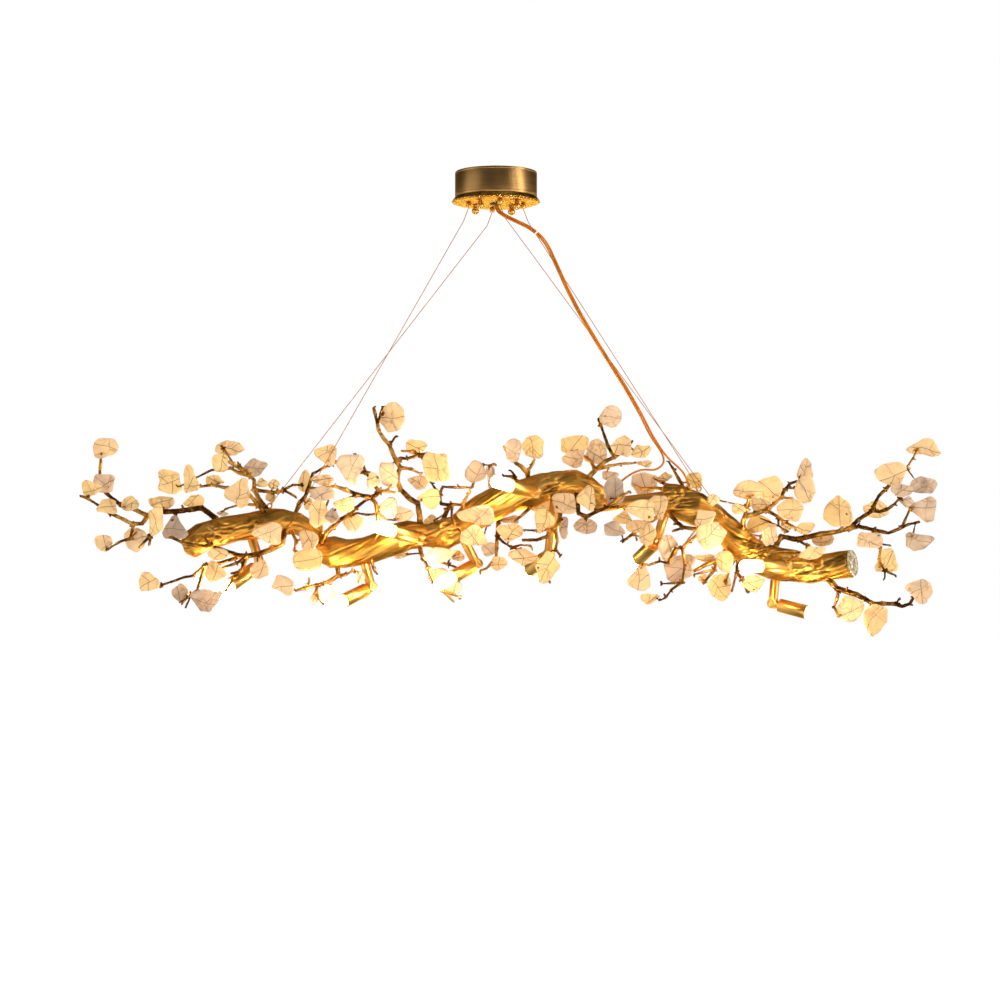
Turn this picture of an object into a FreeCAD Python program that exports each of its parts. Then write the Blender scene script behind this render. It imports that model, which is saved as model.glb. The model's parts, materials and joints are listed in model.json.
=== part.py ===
import FreeCAD
import Part
import math
import os
from FreeCAD import Vector

# Branch chandelier, in millimetres. The origin is on the ceiling in the middle of the canopy, +Z is up,
# +X runs to the viewer's right along the branch and +Y away from the viewer.

# Elevation: the places of the trunk, twigs and leaves are given as (x, z) on a front elevation. It is drawn
# as an eye sees it from EYE_DISTANCE in front of the middle plane, at the height EYE_HEIGHT.
EYE_DISTANCE = 3600.0
EYE_HEIGHT = -620.0

# How far the branch can be raised from the height that it is drawn at
HEIGHT_TRAVEL = 150.0
HEIGHT_STEPS = 6

# Canopy
CANOPY_RADIUS = 65.5
CANOPY_WALL = 1.5
CANOPY_HEIGHT = 40.0
CANOPY_EDGE_ROUND = 2.5
MOUNTING_PLATE_INSET = 4.0
MOUNTING_PLATE_RADIUS = CANOPY_RADIUS - CANOPY_WALL - MOUNTING_PLATE_INSET
MOUNTING_PLATE_THICKNESS = 2.0
CEILING_SCREW_SPACING = 90.0
CEILING_SCREW_HOLE_RADIUS = 2.75
SUPPLY_HOLE_RADIUS = 8.0

# Hammered bottom plate: a shallow dish whose rim flares out under the canopy
DISH_RIM_RADIUS = 71.0
DISH_DEPTH = 10.0
DISH_RIM_DROP = 7.5
DISH_FOOT_INSET = 2.5
DISH_SHEET = 1.5
DISH_SHEET_SLANT = 1.3
BUSH_RADIUS = 7.0
BUSH_FLANGE_RADIUS = 9.5
BUSH_FLANGE_THICKNESS = 1.6
BUSH_BORE_RADIUS = 3.8
BUSH_RISE = 5.0

# Studs and the ball nuts that hold the plate up
STUD_RADIUS = 2.0
STUD_CIRCLE_RADIUS = 41.5
STUD_FIRST_ANGLE = 53.0
STUD_COUNT = 4
STUD_IN_NUT = 7.0
BALL_NUT_RADIUS = 6.0
BALL_NUT_COLLAR_RADIUS = 3.6
BALL_NUT_COLLAR_HEIGHT = 3.0
BALL_NUT_CUT_SHARE = 0.8
RUNNING_GAP = 0.1

# Wire grips and suspension wires
GRIP_CIRCLE_RADIUS = 44.0
GRIP_FIRST_ANGLE = 8.0
GRIP_RADIUS = 4.0
GRIP_NECK_RADIUS = 2.5
GRIP_DROP = 7.0
GRIP_RISE = 7.0
WIRE_RADIUS = 0.6
WIRE_BORE_RADIUS = 0.9
WIRE_LEAD = 22.0
WIRE_LEAD_LEAN = 0.38
WIRE_SIDES = 8
WIRE_END_GAP = 0.3

# Driver and terminal block on the mounting plate, turned in line with the wire grips
DRIVER_SIZE = Vector(18.0, 84.0, 20.0)
TERMINAL_BLOCK_SIZE = Vector(16.0, 30.0, 13.0)
GEAR_OFFSET = 18.0

# Supply cables: two amber cords that hang from the bush to the glands on the trunk
CABLE_RADIUS = 1.6
CABLE_ARC_SHARE = 0.45
GLAND_RADIUS = 4.5
GLAND_HEIGHT = 7.0
GLAND_FOOT = 4.0
GLAND_FOOT_RADIUS = 3.2
GLAND_BORE_RADIUS = 2.0
CABLE_END_GAP = 0.2
TIE_RUN = 4
TIE_PLACE = 0.3
TIE_GAP = 0.5
TIE_WIDTH = 2.5
TIE_BAND = 0.8

CABLE_1 = [
    (1.7, 0, -45), (1.7, 0, -57), (11, -0.5, -66), (34.5, -1, -77.5), (59, -1.5, -89), (82, -2, -111),
    (99.6, -2.5, -151), (122.6, -3, -202), (151.6, -3.5, -253), (180.5, -4, -300), (207.6, -4, -342),
    (230.6, -4, -382), (251.6, -3.5, -424), (271.6, -1.5, -454), (291, -1, -471), (303, -2, -484),
    (308, -3, -499),
]
CABLE_2 = [
    (-1.7, 0, -45), (-1.7, 0, -59), (10, -0.5, -69.5), (33, -1, -80.7), (57, -1.5, -92), (78.8, -2, -113.5),
    (96.4, -2.5, -153), (119.4, -3, -204), (148.4, -3.5, -255), (177.6, -4, -302), (204.4, -4, -344),
    (227.4, -4, -384), (248.4, -4.5, -426), (264, -6.5, -446), (270, -9, -465), (255, -8, -477),
    (236, -5, -475),
    (220, -1, -480), (206, 1, -489), (194, 2, -500), (186, 3, -507),
]

# Trunk: four hollow castings, each a list of (x, z, depth, radius) along its centre line
TRUNK_WALL = 3.5
TRUNK_END_WALL = 5.0
SPIGOT_GAP = 0.1
MIDDLE_SPIGOT_RADIUS = 8.0
MIDDLE_SPIGOT_REACH = 14.0
BARREL_RADIUS = 10.5
BARREL_REACH = 14.0
SPIGOT_WALL = 2.0
CAP_THICKNESS = 3.0
CAP_INSET = 0.5
SAWN_END_TURN = 0.53

TRUNK = {
    "trunk_left": [
        (-500, -599, -6, 11), (-490, -596, -6, 21), (-470, -584, -5, 23), (-445, -575, -3, 23),
        (-415, -568, 0, 21), (-390, -566, 2, 22), (-365, -561, 3, 23), (-340, -559, 3, 21),
        (-318, -562, 2, 18), (-300, -572, 1, 15), (-278, -592, 0, 12),
    ],
    "trunk_middle_left": [
        (-286, -603, 0, 17), (-262, -608, 0, 25), (-240, -610, -2, 22), (-210, -607, -4, 22),
        (-185, -598, -5, 22), (-158, -586, -5, 25), (-140, -579, -4, 23), (-112, -580, -2, 18),
        (-84, -580, 0, 25), (-60, -570, 0, 22),
    ],
    "trunk_middle_right": [
        (-60, -570, 0, 22), (-42, -554, 2, 23), (-22, -541, 4, 25), (0, -530, 5, 25), (25, -519, 5, 23),
        (55, -514, 4, 25), (80, -503, 3, 23), (105, -498, 2, 20), (125, -497, 2, 21), (143, -504, 2, 20),
        (160, -518, 3, 20), (174, -532, 4, 16),
    ],
    "trunk_right": [
        (264, -521, 4, 26), (290, -526, 3, 27), (320, -538, 2, 27), (345, -551, 1, 23), (362, -563, 0, 20),
        (382, -585, -2, 24), (400, -605, -4, 25), (422, -617, -5, 25), (452, -627, -5, 28),
        (480, -630, -4, 25), (503, -637, -3, 21), (530, -631, -3, 21), (569, -625, -5, 22),
    ],
}

# Wire eyes: (x, z, depth) on the trunk's skin where each wire is hooked in, in the order of the grips round
# the plate: right, back, left, front
EYE_PLACES = [(322, -512, 8), (-362, -538, 10), (-333, -570, -18), (363, -552, -18)]
EYE_RING_RADIUS = 4.0
EYE_ROD_RADIUS = 1.3
EYE_SHANK_RADIUS = 1.56
EYE_LEAST_TURN = 0.3
EYE_STAND = 6.0
EYE_SEAT = 3.0
FERRULE_RADIUS = 1.8
FERRULE_LENGTH = 9.0

# Lamps: rods from the trunk, each with a tilting head. Every row gives (x, z, depth) of the rod's root on
# the trunk's centre line, the same for its pivot, and the way that the head points.
ROD_RADIUS = 7.5
ROD_SEAT = 5.0
FORK_SLOT = 5.2
FORK_DEPTH = 9.0
TONGUE_GAP = 0.3
TONGUE_RADIUS = 7.0
TONGUE_WIDTH = 10.0
NECK_SINK = 1.0
PIVOT_SCREW_RADIUS = 2.0
PIVOT_HEAD_RADIUS = 3.6
PIVOT_HEAD_HEIGHT = 1.5
PIVOT_GAP = 0.05
HEAD_RADIUS = 11.0
HEAD_LENGTH = 48.0
HEAD_WALL = 1.6
HEAD_BACK = 4.0
HEAD_OFFSET = 11.0
LAMP_BASE_RADIUS = 7.0
LAMP_BASE_LENGTH = 14.0
DIFFUSER_GAP = 0.3
DIFFUSER_SEAT = 16.0
DIFFUSER_REACH = 40.0
TILT_BACK = 15.0
TILT_OUT = 45.0
TILT_LEAST_ANGLE = 78.0
TILT_MOST_ANGLE = 178.0
TILT_STEP = 8.0
HEAD_STEP = 6.0

LAMPS = [
    ((-214, -606, -4), (-200, -664, -6), (-0.69, -0.64, -0.33)),
    ((-60, -571, 0), (-31, -627, -4), (-0.65, -0.68, -0.33)),
    ((64, -511, 4), (64, -513, -42), (-0.69, -0.70, 0.17)),
    ((-122, -580, -3), (-122, -586, -44), (-0.69, -0.70, 0.19)),
    ((467, -629, -4), (467, -631, -52), (-0.81, -0.58, 0.02)),
    ((449, -627, -5), (443, -690, -8), (0.855, -0.47, -0.21)),
    ((-397, -566, 2), (-377, -627, 4), (-0.73, -0.44, -0.52)),
    ((97, -499, 2), (84, -612, 14), (-0.50, 0.75, -0.40)),
    ((277, -523, 4), (257, -590, 10), (-0.45, 0.75, -0.48)),
]

# Twigs and leaves
TWIG_SIDES = 6
TWIG_TAPER = 0.55
TWIG_LEAST_RADIUS = 1.3
TWIG_JOIN_REACH = 9.0
TWIG_ROOT_SINK = 2.5
TWIG_STEP = 2.5
TWIG_FREE_FROM = 12.0
TWIG_LEAST_GAP = 0.5
RING_START = Vector(0.3, 0.9, 0.4)
STALK_RADIUS = 1.0
STALK_SIDES = 5
STALK_LEAST_LENGTH = 2.5
STALK_LONGEST = 70.0
STALK_GLUE = 0.05
STALK_SOCKET_END = 0.3
STALK_CLEARANCE = 0.6
STALK_STEP = 2.0
STALK_FEET = slice(0, 60, 6)
LEAF_THICKNESS = 4.0
LEAF_BEVEL = 0.88
LEAF_ATTACH = 0.62
LEAF_CLEARANCE = 1.0
LEAF_STEP = 6.0
LEAF_TRIES = 34
LEAF_OVER_STEM = 2.0
LEAF_SWING = 0.55
LEAF_SWING_TURN = 2.4
LEAF_LEAN = 0.5
LEAF_LEAN_TURN = 1.7
LEAF_TILTED_REACH = 1.3
COVER_STEP = 4.0
COVER_MARGIN = 1.0
COVER_SHARES = (0.3, 0.55, 0.8, 1.0)
COVER_REACH_SHARE = 0.72

# Twigs, in groups that are each one casting. A stem gives its starting depth (or JOIN, where it grows
# from a stem before it), how far its tip leans away from the viewer, its radius at the foot and its points
# as (x, z).
JOIN = None
TWIGS = {
    "left_tip": [
        (-8, 20, 4.6, [(-447, -554), (-470, -537), (-500, -541), (-535, -543), (-560, -548), (-580, -538),
                       (-600, -533), (-613, -522), (-625, -512), (-634, -484), (-632, -455)]),
        (JOIN, -45, 3.4, [(-556, -548), (-566, -562), (-582, -562), (-600, -553), (-618, -545), (-640, -530),
                          (-655, -521), (-665, -517)]),
        (JOIN, -25, 3.2, [(-550, -547), (-552, -580), (-555, -597)]),
        (JOIN, -15, 2.6, [(-552, -580), (-570, -599)]),
        (JOIN, 25, 2.6, [(-580, -562), (-585, -585), (-600, -590), (-612, -597), (-622, -604)]),
        (5, 25, 4.2, [(-366, -539), (-378, -525), (-387, -508), (-387, -492), (-400, -480), (-412, -468)]),
        (JOIN, -15, 2.8, [(-402, -478), (-420, -468), (-440, -455)]),
        (JOIN, 20, 2.8, [(-394, -486), (-410, -481), (-425, -473), (-455, -476), (-481, -489)]),
        (JOIN, 8, 2.0, [(-420, -468), (-430, -450), (-440, -437)]),
        (-9, -38, 3.4, [(-372, -540), (-395, -515), (-430, -505), (-455, -500), (-475, -503), (-482, -492)]),
        (JOIN, -16, 2.4, [(-380, -531), (-405, -530), (-432, -538)]),
        (JOIN, 45, 3.0, [(-387, -508), (-370, -510), (-350, -512), (-340, -508), (-325, -500),
                         (-310, -500)]),
        (JOIN, 12, 2.0, [(-340, -508), (-320, -519)]),
        (8, 62, 3.2, [(-320, -543), (-315, -530), (-305, -517), (-298, -498), (-293, -482), (-275, -472),
                      (-262, -467), (-255, -463)]),
    ],
    "left_low": [
        (-16, -46, 4.6, [(-338, -578), (-343, -594), (-360, -603), (-380, -610), (-400, -614), (-415, -612),
                         (-440, -603), (-455, -598), (-480, -597), (-500, -593), (-520, -583)]),
        (JOIN, -6, 2.6, [(-455, -598), (-468, -582)]),
        (JOIN, -25, 3.4, [(-400, -614), (-406, -635), (-420, -650), (-432, -668), (-447, -677)]),
        (JOIN, -8, 2.2, [(-408, -638), (-425, -642)]),
        (JOIN, 14, 2.8, [(-404, -614), (-425, -620), (-443, -625), (-465, -628), (-485, -645), (-500, -648),
                         (-520, -655), (-535, -660)]),
        (JOIN, -28, 2.4, [(-400, -616), (-415, -625), (-430, -630), (-452, -637)]),
        (JOIN, 15, 2.6, [(-465, -628), (-472, -650), (-478, -668), (-487, -675), (-497, -697)]),
        (JOIN, -8, 1.8, [(-487, -675), (-502, -687)]),
        (-15, -12, 2.6, [(-328, -577), (-320, -590), (-323, -605)]),
        (-5, -30, 3.6, [(-254, -630), (-252, -645), (-268, -655), (-285, -660), (-305, -665), (-320, -669),
                        (-328, -664)]),
        (JOIN, 10, 2.0, [(-303, -664), (-298, -652)]),
        (JOIN, -14, 2.6, [(-252, -645), (-240, -643), (-228, -637)]),
        (-18, -8, 2.4, [(-199, -621), (-196, -634), (-190, -643)]),
        (JOIN, 12, 2.4, [(-285, -660), (-289, -672), (-280, -685), (-272, -696)]),
    ],
    "left_front": [
        (-18, -45, 4.4, [(-281, -590), (-272, -577), (-262, -568), (-250, -556), (-238, -550), (-225, -537),
                         (-212, -527), (-200, -520)]),
        (JOIN, -18, 3.4, [(-201, -520), (-220, -516), (-240, -508), (-258, -502), (-272, -505),
                          (-298, -505)]),
        (JOIN, -6, 2.0, [(-272, -505), (-283, -512), (-295, -519)]),
        (JOIN, -6, 1.8, [(-222, -515), (-244, -524)]),
        (JOIN, 10, 3.4, [(-200, -520), (-192, -516), (-185, -510), (-175, -510), (-160, -512)]),
        (JOIN, -10, 3.0, [(-186, -511), (-200, -492), (-208, -480), (-212, -470), (-225, -450)]),
        (JOIN, -5, 2.0, [(-208, -480), (-234, -481)]),
        (JOIN, 8, 3.0, [(-200, -520), (-192, -530), (-190, -545), (-188, -565), (-188, -578), (-195, -588)]),
        (JOIN, -14, 2.0, [(-238, -550), (-222, -545), (-206, -548), (-190, -546)]),
        (JOIN, 8, 2.0, [(-190, -545), (-175, -555), (-162, -556)]),
        (-12, -12, 3.0, [(-279, -588), (-280, -560), (-275, -540), (-268, -525)]),
    ],
    "middle_left": [
        (-8, -35, 4.6, [(-121, -563), (-125, -530), (-140, -520), (-152, -508), (-158, -495), (-157, -480),
                        (-153, -472), (-160, -462), (-165, -450), (-170, -437), (-180, -425), (-188, -412),
                        (-190, -400), (-196, -376)]),
        (JOIN, -5, 2.2, [(-190, -402), (-181, -374)]),
        (JOIN, 8, 1.8, [(-170, -437), (-161, -422)]),
        (JOIN, -22, 3.0, [(-160, -462), (-152, -457), (-143, -458), (-122, -452), (-108, -448)]),
        (JOIN, -8, 2.4, [(-123, -452), (-113, -462), (-107, -474)]),
        (JOIN, -6, 2.2, [(-122, -452), (-135, -446), (-150, -446)]),
        (JOIN, 16, 2.6, [(-153, -472), (-135, -475), (-120, -482)]),
        (6, -18, 4.0, [(-85, -557), (-78, -540), (-70, -531), (-52, -532)]),
        (JOIN, 25, 3.0, [(-71, -532), (-88, -530), (-90, -515), (-98, -505), (-103, -497), (-110, -490)]),
        (JOIN, 10, 2.4, [(-90, -515), (-85, -503), (-60, -504), (-38, -504)]),
        (JOIN, -12, 2.4, [(-54, -532), (-44, -514), (-41, -507)]),
        (JOIN, -24, 2.2, [(-70, -531), (-71, -548), (-69, -563)]),
        (JOIN, 12, 2.2, [(-38, -504), (-33, -485), (-20, -467), (-10, -469), (-2, -466)]),
        (-6, -20, 3.4, [(-123, -595), (-118, -615), (-108, -633)]),
        (JOIN, 14, 3.0, [(-118, -615), (-95, -620), (-75, -628), (-62, -632)]),
        (JOIN, 20, 2.6, [(-108, -633), (-100, -655), (-85, -669), (-58, -679)]),
        (JOIN, 8, 2.0, [(-85, -669), (-67, -687)]),
        (JOIN, 8, 2.0, [(-78, -627), (-73, -613), (-60, -608)]),
        (10, 18, 3.2, [(4, -553), (2, -582), (0, -618), (-15, -633), (-25, -637)]),
        (JOIN, -14, 2.4, [(2, -582), (12, -592), (25, -600), (37, -603)]),
        (JOIN, -8, 2.0, [(25, -600), (40, -596), (55, -597), (58, -603)]),
        (-14, -10, 2.2, [(0, -551), (-12, -561), (-25, -568)]),
    ],
    "middle_right": [
        (4, -20, 4.0, [(52, -491), (50, -480), (40, -470), (32, -465), (20, -450), (12, -438)]),
        (JOIN, 20, 2.6, [(50, -480), (58, -468), (63, -455), (66, -447)]),
        (12, 16, 2.4, [(31, -498), (30, -485), (23, -476)]),
        (JOIN, 6, 2.0, [(30, -486), (10, -485)]),
        (2, -12, 4.4, [(148, -489), (160, -475), (175, -462), (190, -455), (205, -445), (214, -438)]),
        (JOIN, 26, 2.8, [(160, -475), (180, -470), (200, -466), (222, -465)]),
        (JOIN, 28, 3.0, [(158, -477), (152, -462), (138, -452), (128, -446)]),
        (JOIN, 34, 3.0, [(190, -455), (180, -440), (174, -422), (168, -405), (163, -395)]),
        (JOIN, -5, 2.0, [(210, -441), (218, -430)]),
        (-12, -42, 4.0, [(128, -516), (132, -545), (145, -551), (160, -543), (175, -537), (190, -528),
                         (200, -518), (214, -510)]),
        (JOIN, 10, 2.2, [(175, -537), (195, -534), (210, -537)]),
        (-12, -28, 4.0, [(105, -515), (103, -540), (102, -555), (95, -570), (80, -583), (65, -588),
                         (42, -588)]),
        (JOIN, -10, 2.4, [(95, -570), (65, -573), (45, -572)]),
        (JOIN, -12, 2.6, [(95, -570), (98, -590), (95, -603), (78, -611)]),
        (JOIN, 4, 1.8, [(95, -602), (103, -613)]),
        (JOIN, -6, 2.0, [(79, -611), (72, -632), (70, -652)]),
        (JOIN, 4, 1.8, [(72, -632), (87, -657)]),
        (-6, -18, 2.8, [(57, -536), (42, -548), (30, -558)]),
    ],
    "right_low": [
        (-14, -28, 3.8, [(272, -545), (290, -560), (300, -568), (315, -570), (335, -570)]),
        (JOIN, 5, 2.0, [(300, -568), (282, -574)]),
        (JOIN, -14, 2.6, [(333, -570), (310, -590), (298, -600), (287, -603)]),
        (JOIN, -20, 2.4, [(288, -603), (275, -625), (262, -622), (245, -628), (230, -625)]),
        (JOIN, 10, 2.4, [(298, -600), (302, -628), (298, -655), (285, -657), (265, -658)]),
        (JOIN, -8, 2.2, [(298, -655), (280, -668), (272, -680), (262, -685)]),
        (-10, -30, 3.2, [(270, -540), (250, -558), (240, -558), (228, -570), (222, -575), (204, -590)]),
        (JOIN, 4, 1.8, [(222, -575), (225, -587)]),
        (10, 30, 2.8, [(300, -508), (285, -477), (276, -462)]),
        (8, 8, 2.4, [(271, -504), (253, -490)]),
        (14, 24, 3.0, [(271, -512), (245, -505), (232, -505)]),
        (-4, -12, 5.0, [(376, -598), (352, -621), (335, -628), (313, -640)]),
        (JOIN, -10, 2.6, [(352, -621), (350, -635), (317, -643)]),
        (JOIN, 6, 2.2, [(350, -635), (332, -657)]),
        (8, 12, 2.6, [(386, -612), (372, -640), (368, -655)]),
        (-10, -14, 2.8, [(391, -616), (385, -640), (378, -668)]),
        (JOIN, 10, 2.4, [(385, -640), (394, -650), (402, -672)]),
        (JOIN, -6, 2.2, [(394, -650), (415, -668)]),
    ],
    "right_crown": [
        (-12, -30, 4.2, [(393, -577), (395, -560), (400, -540), (405, -520)]),
        (JOIN, -6, 1.8, [(400, -540), (410, -527)]),
        (JOIN, 25, 3.8, [(398, -550), (415, -546), (432, -540), (445, -530), (455, -520), (462, -508),
                         (470, -498), (484, -493)]),
        (JOIN, 5, 1.8, [(464, -505), (477, -505)]),
        (JOIN, -4, 1.8, [(445, -530), (445, -520)]),
        (JOIN, 8, 1.8, [(455, -520), (475, -521)]),
        (JOIN, -18, 2.8, [(432, -540), (450, -550), (460, -558), (480, -569)]),
        (JOIN, 6, 2.0, [(452, -551), (452, -565), (465, -575)]),
        (JOIN, -4, 1.6, [(462, -559), (473, -553)]),
        (-19, -16, 2.4, [(402, -588), (410, -580), (423, -582)]),
    ],
    "right_tip": [
        (-6, 15, 4.8, [(447, -599), (456, -582), (480, -587), (500, -583), (520, -578), (545, -575),
                       (565, -570), (580, -555), (603, -541), (606, -530), (612, -518), (625, -505)]),
        (JOIN, -12, 2.8, [(603, -541), (612, -543), (625, -540), (638, -530), (646, -521)]),
        (JOIN, 20, 2.6, [(624, -506), (640, -490), (657, -473), (667, -457), (676, -442)]),
        (JOIN, -35, 3.4, [(565, -570), (580, -566), (605, -572), (628, -577), (645, -570), (660, -563),
                          (678, -559)]),
        (JOIN, 6, 2.0, [(650, -567), (663, -537)]),
        (JOIN, 20, 2.6, [(605, -572), (610, -590), (616, -600), (612, -620), (622, -637), (640, -645)]),
        (JOIN, 5, 1.6, [(622, -637), (622, -650)]),
        (JOIN, -8, 1.8, [(613, -594), (632, -597)]),
        (JOIN, -10, 2.4, [(550, -574), (560, -560), (567, -548)]),
        (JOIN, 12, 2.0, [(480, -587), (500, -598), (518, -604)]),
        (-8, -34, 4.6, [(531, -650), (545, -665), (560, -670), (575, -675), (590, -682), (603, -690),
                        (620, -690), (635, -690), (650, -694), (662, -690), (668, -680), (672, -672)]),
        (JOIN, 3, 1.8, [(640, -691), (645, -682)]),
        (JOIN, 12, 2.6, [(547, -666), (547, -678), (541, -695), (548, -710)]),
        (JOIN, 6, 2.4, [(603, -690), (606, -715), (601, -742)]),
    ],
}

# Leaves on each group of twigs: (x, z, width, height) on the elevation
LEAVES = {
    "left_tip": [
        (-624, -440, 44, 38), (-628, -497, 37, 29), (-645, -507, 38, 27), (-624, -533, 32, 26),
        (-586, -530, 32, 27), (-535, -528, 47, 23), (-544, -557, 24, 51), (-513, -568, 47, 37),
        (-485, -527, 33, 22), (-628, -592, 31, 28), (-578, -588, 42, 42), (-521, -495, 36, 42),
        (-488, -490, 29, 50), (-450, -492, 32, 18), (-441, -465, 26, 33), (-425, -440, 55, 25),
        (-385, -472, 40, 32), (-415, -512, 40, 50), (-375, -497, 22, 18), (-355, -498, 22, 16),
        (-361, -520, 18, 18), (-437, -546, 20, 9), (-272, -452, 37, 38), (-306, -494, 24, 40),
        (-300, -530, 14, 20),
    ],
    "left_low": [
        (-555, -655, 36, 34), (-505, -672, 29, 33), (-462, -686, 49, 36), (-448, -638, 36, 39),
        (-445, -611, 35, 22), (-378, -635, 30, 34), (-340, -660, 40, 33), (-367, -578, 46, 38),
        (-300, -592, 34, 40), (-300, -620, 50, 34), (-270, -673, 27, 32), (-290, -680, 18, 22),
        (-217, -648, 14, 24),
    ],
    "left_front": [
        (-278, -493, 40, 18), (-278, -514, 44, 22), (-283, -545, 33, 50), (-262, -550, 27, 26),
        (-232, -475, 46, 48), (-245, -532, 34, 27), (-228, -560, 35, 33), (-195, -493, 25, 25),
        (-172, -484, 31, 42), (-174, -534, 36, 32), (-145, -547, 30, 24),
    ],
    "middle_left": [
        (-165, -392, 44, 48), (-126, -438, 34, 25), (-97, -472, 45, 48), (-122, -497, 42, 22),
        (-108, -523, 38, 34), (-103, -563, 33, 33), (-32, -478, 35, 38), (-7, -487, 20, 38),
        (-34, -549, 62, 36), (-35, -581, 45, 34), (-92, -646, 32, 27), (-67, -662, 29, 33),
        (-90, -611, 57, 26), (-153, -612, 30, 15), (-60, -612, 20, 18), (-10, -603, 32, 26),
        (5, -627, 30, 24), (44, -615, 50, 30), (20, -556, 36, 14), (23, -577, 43, 28),
    ],
    "middle_right": [
        (28, -444, 26, 40), (58, -438, 40, 42), (125, -435, 45, 30), (122, -458, 36, 31),
        (159, -447, 39, 45), (184, -391, 40, 40), (200, -437, 34, 36), (232, -446, 30, 22),
        (237, -466, 26, 12), (184, -486, 27, 18), (190, -510, 35, 46), (75, -532, 50, 35),
        (108, -529, 40, 35), (144, -521, 32, 42), (78, -558, 32, 40), (108, -569, 16, 38),
        (143, -565, 41, 28), (82, -631, 42, 54), (203, -552, 36, 25),
    ],
    "right_low": [
        (190, -570, 35, 27), (228, -566, 43, 20), (236, -499, 45, 42), (270, -488, 27, 18),
        (230, -540, 46, 38), (261, -536, 32, 42), (242, -580, 27, 36), (276, -601, 34, 42),
        (294, -633, 48, 46), (230, -649, 41, 44), (246, -682, 34, 18), (317, -493, 28, 30),
        (345, -580, 52, 50), (335, -553, 35, 25), (334, -618, 32, 15), (330, -650, 20, 15),
        (366, -622, 28, 36), (357, -665, 40, 46), (412, -657, 40, 30), (420, -604, 40, 28),
    ],
    "right_crown": [
        (349, -526, 22, 18), (404, -508, 49, 33), (436, -506, 50, 42), (424, -532, 34, 26),
        (389, -538, 22, 20), (495, -473, 30, 36), (494, -507, 37, 50), (470, -541, 44, 38),
        (439, -580, 27, 38), (425, -562, 48, 32), (465, -565, 25, 20),
    ],
    "right_tip": [
        (496, -568, 34, 22), (523, -586, 32, 26), (506, -609, 50, 22), (683, -440, 57, 32),
        (631, -485, 54, 42), (684, -500, 50, 28), (650, -509, 35, 22), (659, -527, 26, 18),
        (683, -539, 46, 42), (678, -591, 46, 31), (609, -539, 46, 30), (547, -541, 46, 54),
        (599, -587, 45, 27), (626, -620, 42, 38), (677, -671, 38, 41), (566, -698, 50, 42),
        (607, -715, 40, 50),
    ],
}

# Leaf outlines: cut crystal petals in a unit square, with the end that takes the stalk at the bottom
OUTLINES = [
    [(-0.1, -0.5), (0.16, -0.48), (0.5, -0.02), (0.42, 0.38), (-0.06, 0.5), (-0.48, 0.3), (-0.46, -0.14)],
    [(-0.34, -0.5), (0.3, -0.44), (0.5, 0.3), (0.4, 0.46), (-0.3, 0.5), (-0.5, -0.3)],
    [(-0.08, -0.5), (0.1, -0.5), (0.5, 0.2), (0.38, 0.46), (-0.34, 0.5), (-0.5, 0.26)],
    [(-0.42, -0.4), (-0.28, -0.5), (0.44, -0.14), (0.5, 0.04), (0.1, 0.48), (-0.3, 0.5), (-0.5, 0.2)],
    [(-0.1, -0.5), (0.22, -0.42), (0.5, 0.0), (0.36, 0.3), (-0.06, 0.5), (-0.34, 0.3), (-0.5, -0.06),
     (-0.4, -0.3)],
]

CANOPY_BOTTOM = -CANOPY_HEIGHT - DISH_DEPTH


def seen(x, z, depth):
    """Where a point at this depth lies that stands at (x, z) on the elevation."""
    spread = 1 + depth / EYE_DISTANCE
    return Vector(x * spread, depth, EYE_HEIGHT + (z - EYE_HEIGHT) * spread)


def save(name, shapes):
    """Write one sub-part as a STEP file, after a check that its solids are sound."""
    solids = [solid for shape in shapes for solid in shape.Solids]
    shape = Part.makeCompound(solids) if len(solids) > 1 else solids[0]
    sound = all(solid.isValid() and solid.Volume > 0 for solid in solids)
    print(name, "solids", len(solids), "volume", round(shape.Volume), "" if sound else "NOT SOUND")
    shape.exportStep("parts/" + name + ".step")


def rod(start, end, radius, end_radius=None):
    """A round bar, or a cone where the two radii differ."""
    along = end - start
    if end_radius is None or end_radius == radius:
        return Part.makeCylinder(radius, along.Length, start, along)
    return Part.makeCone(radius, end_radius, along.Length, start, along)


def framed(shape, origin, x_way, y_way, z_way):
    """Set a shape down with its own axes along the three ways."""
    matrix = FreeCAD.Matrix(
        x_way.x, y_way.x, z_way.x, origin.x,
        x_way.y, y_way.y, z_way.y, origin.y,
        x_way.z, y_way.z, z_way.z, origin.z,
        0, 0, 0, 1,
    )
    return shape.transformGeometry(matrix)


def on_circle(radius, angle, z):
    turn = math.radians(angle)
    return Vector(radius * math.cos(turn), radius * math.sin(turn), z)


def revolved(profile):
    """A solid of revolution about Z from (radius, z) corners."""
    corners = [Vector(radius, 0, z) for radius, z in profile]
    face = Part.Face(Part.makePolygon(corners + corners[:1]))
    return face.revolve(Vector(0, 0, 0), Vector(0, 0, 1), 360)


# --- Canopy ---------------------------------------------------------------------------------------

UP = Vector(0, 0, 1)
STUDS = [(STUD_CIRCLE_RADIUS, STUD_FIRST_ANGLE + 360 * i / STUD_COUNT) for i in range(STUD_COUNT)]
GRIPS = [(GRIP_CIRCLE_RADIUS, GRIP_FIRST_ANGLE + 360 * i / STUD_COUNT) for i in range(STUD_COUNT)]
NUT_TOP = CANOPY_BOTTOM
NUT_CENTRE = NUT_TOP - BALL_NUT_COLLAR_HEIGHT - BALL_NUT_RADIUS * BALL_NUT_CUT_SHARE
GRIP_BOTTOM = CANOPY_BOTTOM - GRIP_DROP


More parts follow.
